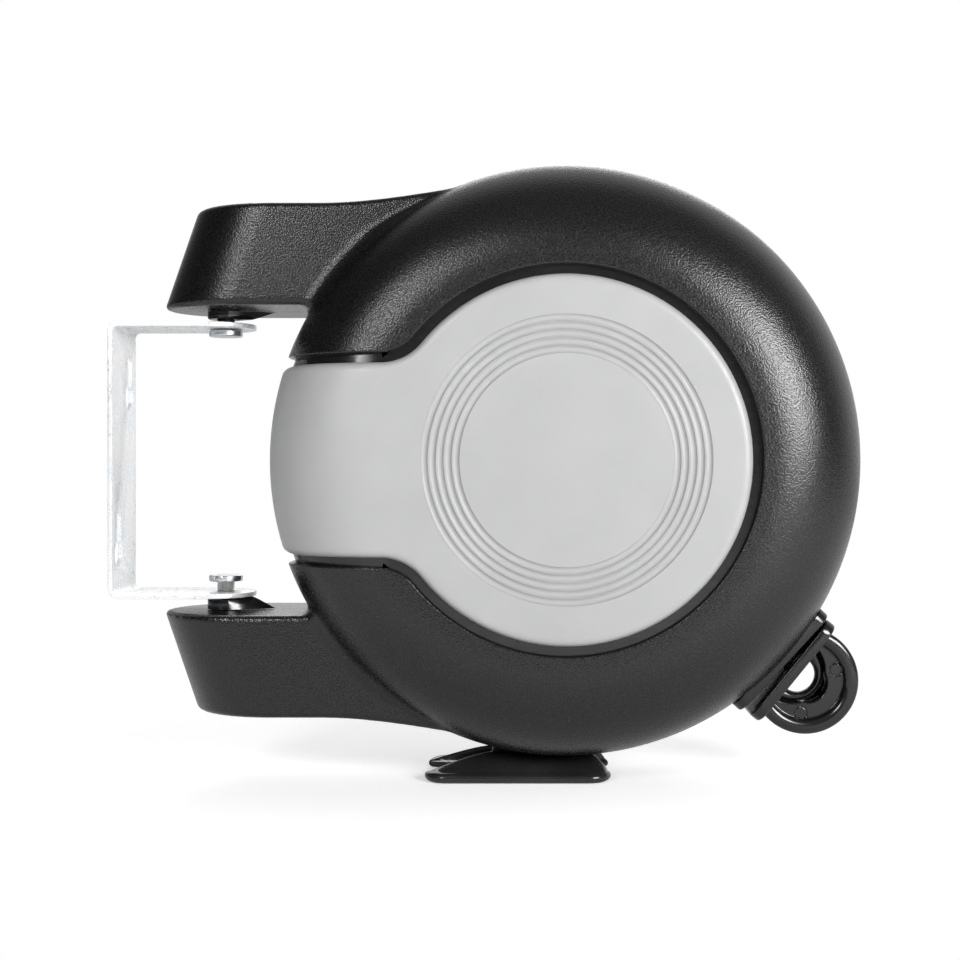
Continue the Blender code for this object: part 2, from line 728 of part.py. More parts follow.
def build_line_feeds():
    """Line from each winding's tangent point to the outlet's face."""
    radius = WINDING_RADIUS + LINE_RADIUS + GAP
    mouth = SPIGOT_END - 0.0040
    angle = math.acos(radius / mouth)
    for name, side in (("line_feed_front", -1), ("line_feed_rear", 1)):
        y = side * LINE_SPACING / 2
        points = (
            Vector((radius * math.cos(angle), y, radius * math.sin(angle))),
            Vector((mouth - 0.0030, y, 0.0026)),
            Vector((mouth, y, 0.0004)),
            Vector((mouth + 0.0030, y, 0.0)),
            Vector((BEZEL_FACE, y, 0.0)),
        )
        curve = bpy.data.curves.new(name, "CURVE")
        curve.dimensions = "3D"
        curve.bevel_depth = LINE_RADIUS
        curve.bevel_resolution = 1
        curve.use_fill_caps = True
        spline = curve.splines.new("POLY")
        spline.points.add(len(points) - 1)
        for slot, point in zip(spline.points, points):
            slot.co = (*(outlet_frame() @ point), 1.0)
        curve.materials.append(LINE_BLACK)
        PARTS.objects.link(bpy.data.objects.new(name, curve))


def build_stop_plate():
    bm = bmesh.new()
    outline = rounded_plate(STOP_HALF_LENGTH, STOP_HALF_WIDTH, 0.0065)
    inset = rounded_plate(STOP_HALF_LENGTH - 0.0008, STOP_HALF_WIDTH - 0.0008, 0.0057)
    face = STOP_FACE + STOP_THICKNESS
    rings = [
        (STOP_FACE, inset),
        (STOP_FACE + 0.0008, outline),
        (face - 0.0008, outline),
        (face, inset),
    ]
    loft(bm, [[(u, y, t) for y, t in ring] for u, ring in rings])
    place(bm, handle_frame())
    plate = part("stop_plate", bm, GLOSS_BLACK)
    bm = bmesh.new()
    for side in (-1, 1):
        steps = (
            (-0.002, LINE_RADIUS + GAP),
            (0.0012, LINE_RADIUS + GAP),
            (0.0012, KNOT_RADIUS + GAP),
            (0.008, KNOT_RADIUS + GAP),
        )
        add_steps(bm, (STOP_FACE, side * LINE_SPACING / 2, 0), (1, 0, 0), steps, 12)
    place(bm, handle_frame())
    boolean(plate, helper("stop_plate_holes", bm), "DIFFERENCE")
    for name, side in (("line_end_front", -1), ("line_end_rear", 1)):
        bm = bmesh.new()
        steps = (
            (-0.0023, LINE_RADIUS),
            (0.0015, LINE_RADIUS),
            (0.0015, KNOT_RADIUS),
            (0.0036, KNOT_RADIUS),
            (0.0040, KNOT_RADIUS - 0.0006),
        )
        add_steps(bm, (STOP_FACE, side * LINE_SPACING / 2, 0), (1, 0, 0), steps, 12)
        place(bm, handle_frame())
        part(name, bm, LINE_BLACK)


def slot_outline():
    """Crescent pocket between the grip and the web, in u and t."""
    inner_r = GRIP_RADIUS - 0.0007
    between = SLOT_CENTRE - GRIP_CENTRE
    along = (between**2 + inner_r**2 - SLOT_RADIUS**2) / (2 * between)
    across = math.sqrt(inner_r**2 - along**2)
    outer = math.degrees(math.atan2(across, along - between))
    inner = math.degrees(math.atan2(across, along))
    outline = arc((SLOT_CENTRE, 0.0), SLOT_RADIUS, -outer, outer, 14)
    return outline + arc((GRIP_CENTRE, 0.0), inner_r, inner, -inner, 10)[1:-1]


def handle_cutter(name, outline, y0, y1):
    bm = bmesh.new()
    add_prism(bm, outline, y0, y1)
    place(bm, handle_frame())
    return helper(name, bm)


def build_handle_half(name, side):
    """Half of the pull handle: domed rim, web with two bosses, pocket, grip, finger hole."""
    half = HANDLE_HALF_WIDTH
    rim = HANDLE_RADIUS
    inner = rim - HANDLE_RIM
    middle = rim - HANDLE_RIM / 2
    profile = (
        (rim, GAP / 2),
        (rim, half - 0.0016),
        (rim - 0.0010, half - 0.0005),
        (middle, half),
        (inner + 0.0010, half - 0.0005),
        (inner, half - 0.0016),
        (inner, HANDLE_WEB_Y),
    )
    bm = bmesh.new()
    add_disc(bm, [(r, side * y) for r, y in profile], (HANDLE_CENTRE, 0.0), 36)
    place(bm, handle_frame())
    handle = part(name, bm, GLOSS_BLACK)
    round_grip = arc((GRIP_CENTRE, 0.0), GRIP_RADIUS, 0.0, 352.5, 47)
    grip = handle_cutter(name + "_grip", round_grip, side * GRIP_Y, side * 0.020)
    boolean(handle, grip, "DIFFERENCE")
    slot = handle_cutter(name + "_slot", slot_outline(), side * 0.0015, side * 0.021)
    boolean(handle, slot, "DIFFERENCE")
    bm = bmesh.new()
    for angle in (-BOSS_ANGLE, BOSS_ANGLE):
        u, t = arc((HANDLE_CENTRE, 0.0), BOSS_CIRCLE, angle, angle, 1)[0]
        steps = ((0, BOSS_RADIUS), (HANDLE_WEB_Y - 0.0027, BOSS_RADIUS))
        add_steps(bm, (u, side * 0.0030, t), (0, side, 0), steps, 12)
    place(bm, handle_frame())
    boolean(handle, helper(name + "_bosses", bm), "UNION")
    finger = arc((FINGER_CENTRE, 0.0), FINGER_RADIUS, 0.0, 350.0, 35)
    boolean(handle, handle_cutter(name + "_finger", finger, -0.022, 0.022), "DIFFERENCE")
    bm = bmesh.new()
    seat = STOP_FACE + STOP_THICKNESS + GAP
    add_box(bm, (0.100, -0.040, -0.040), (seat, 0.040, 0.040), handle_frame())
    boolean(handle, helper(name + "_seat", bm), "DIFFERENCE")


def cleat_ring(y):
    """Section of the cleat at y: narrow at the neck, long and low in the wings."""
    away = (abs(y) - CLEAT_NECK_HALF_WIDTH) / (CLEAT_RIM_Y - CLEAT_NECK_HALF_WIDTH)
    s = max(0.0, away)
    spread = min(1.0, s / 0.36)
    centre = CLEAT_X + (CLEAT_RIM_X - CLEAT_X) * spread
    half = CLEAT_NECK_HALF_LENGTH + (CLEAT_RIM_HALF_LENGTH - CLEAT_NECK_HALF_LENGTH) * spread
    past = max(0.0, abs(y) - CLEAT_RIM_Y + CLEAT_END_RADIUS)
    half -= CLEAT_END_RADIUS - math.sqrt(CLEAT_END_RADIUS**2 - past**2)
    rim_top = CLEAT_FOOT_Z + CLEAT_RIM_THICKNESS
    if away < 0:
        top = 0.010 - CASE_RADIUS
    else:
        top = CLEAT_NECK_Z + (rim_top - CLEAT_NECK_Z) * s**1.5
    bottom = CLEAT_FOOT_Z + 0.0040 * max(0.0, 0.8 - s) ** 2
    return [
        (centre - half, y, bottom),
        (centre + half, y, bottom),
        (centre + half, y, top),
        (centre - half, y, top),
    ]


def build_cleat():
    neck = CLEAT_NECK_HALF_WIDTH
    reach = CLEAT_RIM_Y - neck
    wing = [neck + reach * share for share in (0.01, 0.12, 0.24, 0.36, 0.6, 0.8, 0.93, 0.99, 1.0)]
    stations = [-y for y in reversed(wing)] + [0.0002 - neck, neck - 0.0002] + wing
    bm = bmesh.new()
    loft(bm, [cleat_ring(y) for y in stations])
    cleat = part("line_cleat", bm, GLOSS_BLACK)
    bm = bmesh.new()
    add_disc(bm, [(CASE_RADIUS + GAP, -0.030), (CASE_RADIUS + GAP, 0.030)], (REEL_X, 0.0), 72)
    boolean(cleat, helper("cleat_seat", bm), "DIFFERENCE")
    bm = bmesh.new()
    length, width = TENON_HALF_LENGTH, TENON_HALF_WIDTH
    add_box(bm, (CLEAT_X - length, -width, -0.134), (CLEAT_X + length, width, -0.1190))
    boolean(cleat, helper("cleat_tenon", bm), "UNION")
    bm = bmesh.new()
    add_box(
        bm,
        (CLEAT_X - length - 0.003, -width - 0.003, -0.1210),
        (CLEAT_X + length + 0.003, width + 0.003, -0.1184),
    )
    boolean(cleat, helper("cleat_barb", bm), "UNION")


def build_screws():
    steps = (
        (-0.0130, SCREW_RADIUS - 0.0008),
        (-0.0120, SCREW_RADIUS),
        (SCREW_HEAD_Y, SCREW_RADIUS),
        (SCREW_HEAD_Y, SCREW_HEAD_RADIUS),
        (SCREW_HEAD_Y + 0.0020, SCREW_HEAD_RADIUS),
        (SCREW_HEAD_Y + 0.0026, SCREW_HEAD_RADIUS - 0.0008),
    )
    for i, (x, z) in enumerate(screw_points()):
        bm = bmesh.new()
        add_steps(bm, (x, 0, z), (0, 1, 0), steps, 8)
        part(f"case_screw_{i + 1}", bm, ZINC)


clear_scene()
PARTS = collection("line_reel", False)
CUTTERS = collection("line_reel_cutters", True)
GRAINED = material("grained_black_plastic", (0.035, 0.035, 0.037), 0.0, 0.55)
GLOSS_BLACK = material("gloss_black_plastic", (0.012, 0.012, 0.014), 0.0, 0.18)
PANEL_GREY = material("satin_grey_plastic", (0.56, 0.57, 0.58), 0.0, 0.38)
DRUM_GREY = material("drum_plastic", (0.20, 0.21, 0.22), 0.0, 0.5)
ZINC = material("zinc_plated_steel", (0.80, 0.81, 0.82), 1.0, 0.28)
SPRING_STEEL = material("spring_steel", (0.25, 0.26, 0.30), 1.0, 0.35)
LINE_BLACK = material("line_black", (0.030, 0.030, 0.032), 0.0, 0.6)

ARMS_OUTER = arms("arms_outer", 0.0)
ARMS_INNER = arms("arms_inner", WALL)
BEZEL_POCKET = bezel_pocket("bezel_pocket")
build_shell("front_shell", -1)
build_shell("rear_shell", 1)
build_panel("front_panel", -1)
build_panel("rear_panel", 1)
build_bracket()
build_pin("upper_pivot_pin", 1, UPPER_HEAD_Z)
build_pin("lower_pivot_pin", -1, LOWER_HEAD_Z)
build_bush("upper_pivot_bush", 1, UPPER_BUSH_FACE_Z)
build_bush("lower_pivot_bush", -1, LOWER_BUSH_FACE_Z)
build_drum()
build_windings()
build_spring()
build_axle()
build_bezel()
build_line_feeds()
build_stop_plate()
build_handle_half("handle_front_half", -1)
build_handle_half("handle_rear_half", 1)
build_cleat()
build_screws()
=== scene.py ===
"""Studio view of the twin line reel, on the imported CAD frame.

The larger moulded pieces are skinned from distance fields, so that their blends and
rounded edges are real shapes; the others are turned, lofted or swept from outlines.
"""

import math

import bmesh
import bpy
import numpy as np
from mathutils import Matrix, Vector


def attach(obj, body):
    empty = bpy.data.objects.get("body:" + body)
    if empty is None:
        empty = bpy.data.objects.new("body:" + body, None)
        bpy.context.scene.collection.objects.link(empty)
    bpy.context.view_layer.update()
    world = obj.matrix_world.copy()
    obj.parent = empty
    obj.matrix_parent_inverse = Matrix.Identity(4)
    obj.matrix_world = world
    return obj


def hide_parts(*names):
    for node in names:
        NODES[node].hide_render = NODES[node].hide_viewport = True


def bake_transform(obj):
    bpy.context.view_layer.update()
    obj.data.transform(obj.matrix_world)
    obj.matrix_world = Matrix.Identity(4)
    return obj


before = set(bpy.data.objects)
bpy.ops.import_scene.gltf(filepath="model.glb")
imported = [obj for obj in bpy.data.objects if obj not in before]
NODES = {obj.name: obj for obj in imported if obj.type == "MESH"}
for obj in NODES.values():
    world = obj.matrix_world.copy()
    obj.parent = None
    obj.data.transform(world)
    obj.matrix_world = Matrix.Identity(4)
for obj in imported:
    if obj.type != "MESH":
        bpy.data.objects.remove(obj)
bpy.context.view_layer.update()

GAP = 0.0003

# Case
REEL_X = 0.1975
CASE_RADIUS = 0.127
CASE_HALF_DEPTH = 0.055
CASE_ROUNDING = 0.037
CASE_SPREAD = 0.042
WALL = 0.003
RECESS_DEPTH = 0.0032
CHANNEL_WIDTH = 0.0040
CHANNEL_EDGE = 0.0006
CREASE = 0.0050
SUPPORT_RADIUS = 0.011
PILLAR_RADIUS = 0.0062

# Keyhole-shaped panel
PANEL_RADIUS = 0.0764
STRIP_HALF_HEIGHT = 0.0400
PANEL_FILLET = 0.0224
PANEL_THICKNESS = 0.0029
PANEL_EDGE = 0.0034
GROOVE_RADII = (0.0452, 0.0484, 0.0517, 0.0549, 0.0582)

# Arms of the case
ARM_INNER_Z = 0.066
ARM_OUTER_Z = 0.1094
ARM_HALF_DEPTH = 0.031
ARM_TIP_LENGTH = 0.036
ARM_TIP_X = 0.0210
ARM_TIP_SLOPE = 0.344
ARM_BLEND_LENGTH = 0.060
ARM_BLEND_SLOPE = 0.16
ARM_BLEND_END = 111.0
ARM_SCREW = (0.082, 0.087)

# Wall bracket and pivots
PIVOT_X = 0.0473
STEEL = 0.002
BRACKET_HALF_HEIGHT = 0.060
BRACKET_HALF_WIDTH = 0.019
BRACKET_REACH = 0.0605
BRACKET_BEND = 0.0045
KEYHOLE_OFFSET = 0.0085
KEYHOLE_Z = 0.0346
KEYHOLE_LENGTH = 0.0245
KEYHOLE_ROUND = 0.0060
KEYHOLE_NARROW = 0.0033
PIN_RADIUS = 0.00375
PIN_HEAD_RADIUS = 0.00735
PIN_HEAD_THICKNESS = 0.0028
PIN_HEAD_ROLL = 0.0006
PIN_END_Z = 0.082
UPPER_HEAD_Z = 0.0576
LOWER_HEAD_Z = 0.0536
BUSH_RADIUS = 0.0080
BUSH_TIP = 0.0220
BUSH_SLEEVE_RADIUS = 0.0065
BUSH_END_Z = 0.084
UPPER_BUSH_FACE_Z = 0.0624
LOWER_BUSH_FACE_Z = 0.0603

# Axle, line and outlet
AXLE_RADIUS = 0.005
AXLE_HALF_LENGTH = 0.046
WINDING_RADIUS = 0.080
LINE_RADIUS = 0.0016
LINE_SPACING = 0.0200
OUTLET_ANGLE = math.radians(42.8)
BEZEL_FACE = 0.1289
BEZEL_THICKNESS = 0.0042
BEZEL_HALF_LENGTH = 0.0280
BEZEL_HALF_WIDTH = 0.0240
SPIGOT_HALF_LENGTH = 0.0214
SPIGOT_HALF_WIDTH = 0.0164
SPIGOT_END = 0.1190
STOP_FACE = 0.1298
STOP_THICKNESS = 0.0050
STOP_HALF_LENGTH = 0.0265
STOP_HALF_WIDTH = 0.0230
KNOT_RADIUS = 0.0030

# Pull handle
HANDLE_CENTRE = 0.1418
HANDLE_RADIUS = 0.0234
HANDLE_HALF_WIDTH = 0.0090
HANDLE_RIM = 0.0062
HANDLE_WEB_Y = 0.0060
HANDLE_TILT = math.radians(3.7)
FINGER_CENTRE = HANDLE_CENTRE - 0.0031
FINGER_RADIUS = 0.0078
GRIP_CENTRE = HANDLE_CENTRE - 0.0071
GRIP_RADIUS = 0.0146
GRIP_DEPTH = 0.0030
SLOT_CENTRE = HANDLE_CENTRE + 0.0013
SLOT_RADIUS = 0.0091
BOSS_CIRCLE = 0.0146
BOSS_ANGLE = 58.0
BOSS_RADIUS = 0.0029

# Cleat
CLEAT_X = REEL_X - 0.0101
CLEAT_NECK_HALF_LENGTH = 0.0218
CLEAT_NECK_HALF_WIDTH = 0.0060
CLEAT_RIM_HALF_LENGTH = 0.0416
CLEAT_RIM_Y = 0.0229
CLEAT_RIM_X = REEL_X - 0.0204
CLEAT_END_RADIUS = 0.0110
CLEAT_FOOT_Z = -0.1391
CLEAT_WING_EDGE = 0.0028
CLEAT_BEAD = 0.0021
CLEAT_NECK_Z = -0.1278
TENON_HALF_LENGTH = 0.0100
TENON_HALF_WIDTH = 0.0035

# Case screws
SCREW_CIRCLE = 0.1110
SCREW_ANGLES = (14.0, 84.0, 236.0, 290.0)
SCREW_RADIUS = 0.0018
SCREW_HEAD_RADIUS = 0.0037
SCREW_HEAD_Y = 0.0080


# --- Camera, light and floor ---


def make_camera():
    data = bpy.data.cameras.new("camera")
    data.sensor_width = 36.0
    data.lens = 55.09
    data.shift_x = -0.0573
    data.shift_y = -0.0177
    camera = bpy.data.objects.new("camera", data)
    camera.location = (0.1846, -0.653, -0.0012)
    camera.rotation_euler = (math.pi / 2, 0, 0)
    bpy.context.scene.collection.objects.link(camera)
    bpy.context.scene.camera = camera


def softbox(name, at, aim, size, watts):
    data = bpy.data.lights.new(name, "AREA")
    data.shape = "RECTANGLE"
    data.size, data.size_y = size
    data.energy = watts
    lamp = bpy.data.objects.new(name, data)
    lamp.location = at
    lamp.rotation_euler = (Vector(aim) - Vector(at)).to_track_quat("-Z", "Y").to_euler()
    lamp.visible_camera = False
    bpy.context.scene.collection.objects.link(lamp)


def add_node(tree, kind, **values):
    """A shader node with some of its inputs set by name, where _ stands for a space."""
    made = tree.nodes.new("ShaderNode" + kind)
    for name, value in values.items():
        made.inputs[name.replace("_", " ")].default_value = value
    return made


def make_world():
    """White behind the object for the camera; it is lit by a sky that is bright beyond the
    object, dimmer on the near side and dark to the left."""
    world = bpy.data.worlds.new("studio")
    bpy.context.scene.world = world
    world.use_nodes = True
    tree = world.node_tree
    tree.nodes.clear()
    link = tree.links.new
    split = add_node(tree, "SeparateXYZ")
    link(add_node(tree, "TexCoord").outputs["Generated"], split.inputs[0])
    depth = add_node(tree, "MapRange", From_Min=-0.10, From_Max=0.45, To_Min=0.20, To_Max=0.90)
    left = add_node(tree, "MapRange", From_Min=-0.80, From_Max=-0.15, To_Min=0.10, To_Max=1.0)
    product = add_node(tree, "Math")
    product.operation = "MULTIPLY"
    for i, (axis, share) in enumerate((("Y", depth), ("X", left))):
        share.interpolation_type = "SMOOTHSTEP"
        link(split.outputs[axis], share.inputs["Value"])
        link(share.outputs["Result"], product.inputs[i])
    sky = add_node(tree, "Background")
    link(product.outputs[0], sky.inputs["Color"])
    plain = add_node(tree, "Background", Color=(1.0, 1.0, 1.0, 1))
    mix = add_node(tree, "MixShader")
    link(add_node(tree, "LightPath").outputs["Is Camera Ray"], mix.inputs[0])
    link(sky.outputs[0], mix.inputs[1])
    link(plain.outputs[0], mix.inputs[2])
    link(mix.outputs[0], add_node(tree, "OutputWorld").inputs[0])


def make_floor():
    """White floor under the cleat. The camera sees it near the object only: further out it
    fades into the background, so that the pulled handle and line stay in view below it."""
    bm = bmesh.new()
    bmesh.ops.create_circle(bm, cap_ends=True, segments=96, radius=4.0)
    bmesh.ops.translate(bm, verts=bm.verts, vec=(REEL_X, 0, CLEAT_FOOT_Z - 0.0001))
    mesh = bpy.data.meshes.new("floor")
    bm.to_mesh(mesh)
    bm.free()
    look = bpy.data.materials.new("floor_white")
    look.use_nodes = True
    tree = look.node_tree
    link = tree.links.new
    shader = tree.nodes["Principled BSDF"]
    shader.inputs["Base Color"].default_value = (0.93, 0.93, 0.93, 1)
    shader.inputs["Roughness"].default_value = 0.9
    shader.inputs["Specular IOR Level"].default_value = 0.2
    shader.inputs["Emission Color"].default_value = (1.0, 1.0, 1.0, 1)
    path = add_node(tree, "LightPath")
    glow = add_node(tree, "MapRange", To_Min=0.10, To_Max=0.40)
    link(path.outputs["Is Camera Ray"], glow.inputs["Value"])
    link(glow.outputs["Result"], shader.inputs["Emission Strength"])
    away = add_node(tree, "VectorMath")
    away.operation = "DISTANCE"
    away.inputs[1].default_value = (CLEAT_RIM_X, 0, CLEAT_FOOT_Z)
    link(add_node(tree, "TexCoord").outputs["Object"], away.inputs[0])
    fade = add_node(tree, "MapRange", From_Min=0.13, From_Max=0.26)
    fade.interpolation_type = "SMOOTHSTEP"
    link(away.outputs["Value"], fade.inputs["Value"])
    link(path.outputs["Is Camera Ray"], fade.inputs["To Max"])
    mix = add_node(tree, "MixShader")
    link(fade.outputs["Result"], mix.inputs[0])
    link(shader.outputs[0], mix.inputs[1])
    link(add_node(tree, "BsdfTransparent").outputs[0], mix.inputs[2])
    link(mix.outputs[0], tree.nodes["Material Output"].inputs["Surface"])
    floor = new_object("floor", mesh, look)


def light_studio():
    aim = (0.20, 0.0, 0.0)
    softbox("key_right", (1.03, -1.09, 0.34), aim, (0.60, 0.36), 20.0)
    softbox("fill_left", (-0.396, -1.157, 0.505), aim, (0.36, 0.28), 6.0)
    softbox("rear", (0.20, 1.20, 0.70), aim, (1.00, 0.60), 4.0)
    bpy.context.scene.view_settings.view_transform = "Standard"


# --- Materials ---


class Look:
    """A Principled material whose colour, roughness and bump come from procedural nodes."""

    def __init__(self, name, metallic=0.0):
        self.material = bpy.data.materials.new(name)
        self.material.use_nodes = True
        self.tree = self.material.node_tree
        self.link = self.tree.links.new
        self.shader = self.tree.nodes["Principled BSDF"]
        self.shader.inputs["Metallic"].default_value = metallic
        self.coords = add_node(self.tree, "TexCoord").outputs["Object"]

    def noise(self, scale, detail=3.0, roughness=0.5, stretch=None):
        made = add_node(self.tree, "TexNoise", Scale=scale, Detail=detail, Roughness=roughness)
        self.link(self.stretched(stretch), made.inputs["Vector"])
        return made.outputs["Fac"]

    def cells(self, scale):
        made = add_node(self.tree, "TexVoronoi", Scale=scale)
        self.link(self.coords, made.inputs["Vector"])
        return made.outputs["Distance"]

    def stretched(self, stretch):
        if stretch is None:
            return self.coords
        made = add_node(self.tree, "VectorMath")
        made.operation = "MULTIPLY"
        made.inputs[1].default_value = stretch
        self.link(self.coords, made.inputs[0])
        return made.outputs[0]

    def ramp(self, fac, low, high, at=(0.3, 0.7)):
        ends = {"From_Min": at[0], "From_Max": at[1], "To_Min": low, "To_Max": high}
        made = add_node(self.tree, "MapRange", **ends)
        self.link(fac, made.inputs["Value"])
        return made.outputs["Result"]

    def add(self, first, second, share):
        """The first value plus a share of the second."""
        made = add_node(self.tree, "Math")
        made.operation = "MULTIPLY_ADD"
        made.inputs[1].default_value = share
        self.link(second, made.inputs[0])
        self.link(first, made.inputs[2])
        return made.outputs[0]

    def colour(self, fac, low, high, at=(0.3, 0.7)):
        made = add_node(self.tree, "ValToRGB")
        for element, position, shade in zip(made.color_ramp.elements, at, (low, high)):
            element.position = position
            element.color = (*shade, 1)
        self.link(fac, made.inputs["Fac"])
        self.link(made.outputs["Color"], self.shader.inputs["Base Color"])

    def roughness(self, value):
        self.link(value, self.shader.inputs["Roughness"])

    def bump(self, height, strength, distance):
        made = add_node(self.tree, "Bump", Strength=strength, Distance=distance)
        self.link(height, made.inputs["Height"])
        self.link(made.outputs["Normal"], self.shader.inputs["Normal"])


def grained_black():
    """Black case plastic with a fine leather grain."""
    look = Look("grained_black")
    pebbles = look.cells(1400.0)
    broad = look.noise(1450.0, 2.0)
    grain = look.add(pebbles, broad, 0.6)
    look.colour(grain, (0.0026, 0.0026, 0.0030), (0.0070, 0.0070, 0.0076), (0.45, 1.05))
    look.roughness(look.ramp(grain, 0.18, 0.30, (0.45, 1.05)))
    look.bump(grain, 1.0, 0.000085)
    return look.material


def gloss_black(name, base):
    """Polished black moulding with faint flow marks and fine rubbing."""
    look = Look(name)
    flow = look.noise(35.0, 2.0, 0.4, (1.0, 1.0, 0.35))
    rubbing = look.noise(900.0, 4.0, 0.6, (0.15, 1.0, 1.0))
    look.colour(flow, (base, base, 1.05 * base), (1.6 * base, 1.6 * base, 1.68 * base))
    look.roughness(look.ramp(rubbing, 0.11, 0.24))
    look.bump(look.add(flow, rubbing, 0.10), 0.10, 0.00025)
    return look.material


def satin_grey():
    """Light grey panel with a fine spark-eroded satin."""
    look = Look("satin_grey")
    fine = look.noise(2600.0, 2.0)
    patch = look.noise(40.0, 3.0)
    look.colour(patch, (0.348, 0.349, 0.350), (0.370, 0.371, 0.372))
    look.roughness(look.ramp(look.noise(500.0, 3.0), 0.34, 0.46))
    look.bump(look.add(fine, look.cells(1900.0), 0.5), 0.12, 0.00006)
    return look.material


def zinc_steel(name, metallic, tone):
    """Zinc-plated steel: a bright, faintly blue and yellow skin with small stains."""
    look = Look(name, metallic)
    stain = look.noise(75.0, 5.0, 0.65)
    spark = look.noise(1500.0, 3.0, 0.6)
    blue = (0.91 * tone, 0.95 * tone, tone)
    yellow = (tone, 0.99 * tone, 0.96 * tone)
    look.colour(stain, blue, yellow, (0.35, 0.65))
    wear = look.add(look.noise(240.0, 5.0), spark, 0.35)
    look.roughness(look.ramp(wear, 0.20, 0.42, (0.4, 0.9)))
    look.bump(look.add(spark, stain, 0.6), 0.16, 0.00008)
    return look.material


def drum_grey():
    look = Look("drum_grey")
    look.colour(look.noise(70.0, 3.0), (0.028, 0.030, 0.033), (0.042, 0.044, 0.048))
    look.roughness(look.ramp(look.noise(300.0), 0.42, 0.58))
    look.bump(look.noise(1100.0, 3.0), 0.15, 0.00010)
    return look.material


def spring_steel():
    look = Look("spring_steel", 1.0)
    rolled = look.noise(300.0, 4.0, 0.6, (1.0, 0.04, 1.0))
    look.colour(rolled, (0.12, 0.13, 0.19), (0.25, 0.24, 0.26))
    look.roughness(look.ramp(rolled, 0.25, 0.42))
    look.bump(rolled, 0.12, 0.00005)
    return look.material


def line_black():
    """Plastic-coated line: near black, with the lay of the core showing as faint ribs."""
    look = Look("line_black")
    look.colour(look.noise(120.0, 3.0), (0.012, 0.012, 0.013), (0.020, 0.020, 0.021))
    look.roughness(look.ramp(look.noise(600.0), 0.38, 0.52))
    look.bump(look.noise(1400.0, 2.0, 0.5, (1.0, 1.0, 0.6)), 0.2, 0.00012)
    return look.material


# --- Mesh tools ---


def new_object(name, mesh, look):
    obj = bpy.data.objects.new(name, mesh)
    bpy.context.scene.collection.objects.link(obj)
    if look:
        mesh.materials.append(look)
    return obj


def from_bmesh(name, bm, look=None):
    bmesh.ops.recalc_face_normals(bm, faces=bm.faces)
    mesh = bpy.data.meshes.new(name)
    bm.to_mesh(mesh)
    bm.free()
    return new_object(name, mesh, look)


def loft(bm, rings, closed_ends=True):
    loops = [[bm.verts.new(point) for point in ring] for ring in rings]
    if closed_ends:
        bm.faces.new(loops[0])
        bm.faces.new(reversed(loops[-1]))
    for first, second in zip(loops, loops[1:]):
        for i in range(len(first)):
            j = (i + 1) % len(first)
            bm.faces.new((first[j], first[i], second[i], second[j]))


def place(bm, matrix, since=0):
    bm.verts.ensure_lookup_table()
    bmesh.ops.transform(bm, matrix=matrix, verts=bm.verts[since:])


def add_box(bm, low, high, matrix=None):
    since = len(bm.verts)
    ring = [(low[0], low[1]), (high[0], low[1]), (high[0], high[1]), (low[0], high[1])]
    loft(bm, [[(x, y, z) for x, y in ring] for z in (low[2], high[2])])
    if matrix:
        place(bm, matrix, since)


def add_steps(bm, start, direction, steps, segments=48):
    """A turned solid along a direction: steps holds (distance, radius) pairs."""
    turn = Vector((0, 0, 1)).rotation_difference(Vector(direction)).to_matrix()
    rings = []
    for distance, radius in steps:
        ring = []
        for i in range(segments):
            angle = 2 * math.pi * (i + 0.5) / segments
            point = Vector((radius * math.cos(angle), radius * math.sin(angle), distance))
            ring.append(turn @ point + Vector(start))
        rings.append(ring)
    loft(bm, rings)


def lofted(name, rings, look=None, matrix=None):
    bm = bmesh.new()
    loft(bm, rings)
    if matrix:
        place(bm, matrix)
    return from_bmesh(name, bm, look)


def box(name, low, high, matrix=None):
    bm = bmesh.new()
    add_box(bm, low, high, matrix)
    return from_bmesh(name, bm)


def turned(name, start, direction, steps, segments=48, look=None):
    bm = bmesh.new()
    add_steps(bm, start, direction, steps, segments)
    return from_bmesh(name, bm, look)


def hoop(name, profile, centre, segments):
    """Turns a closed profile of (radius, y) about the Y axis through a centre (x, z)."""
    bm = bmesh.new()
    loops = []
    for i in range(segments):
        angle = 2 * math.pi * i / segments
        x, z = math.cos(angle), math.sin(angle)
        ring = [(centre[0] + r * x, y, centre[1] + r * z) for r, y in profile]
        loops.append([bm.verts.new(point) for point in ring])
    for i in range(segments):
        first, second = loops[i], loops[(i + 1) % segments]
        for j in range(len(profile)):
            k = (j + 1) % len(profile)
            bm.faces.new((first[j], first[k], second[k], second[j]))
    return from_bmesh(name, bm)


def disc(name, profile, centre, segments=192):
    """Turns an open profile of (radius, y) about the Y axis and closes both ends flat."""
    rings = []
    for r, y in profile:
        ring = []
        for i in range(segments):
            angle = 2 * math.pi * i / segments
            ring.append((centre[0] + r * math.cos(angle), y, centre[1] + r * math.sin(angle)))
        rings.append(ring)
    return lofted(name, rings)


def prism(name, outline, y0, y1, look=None):
    return lofted(name, [[(x, y, z) for x, z in outline] for y in (y0, y1)], look)


def arc(centre, radius, start, end, count):
    points = []
    for i in range(count + 1):
        angle = math.radians(start + (end - start) * i / count)
        points.append(
            (centre[0] + radius * math.cos(angle), centre[1] + radius * math.sin(angle))
        )
    return points


def apply_modifiers(obj):
    graph = bpy.context.evaluated_depsgraph_get()
    mesh = bpy.data.meshes.new_from_object(obj.evaluated_get(graph))
    obj.modifiers.clear()
    obj.data = mesh


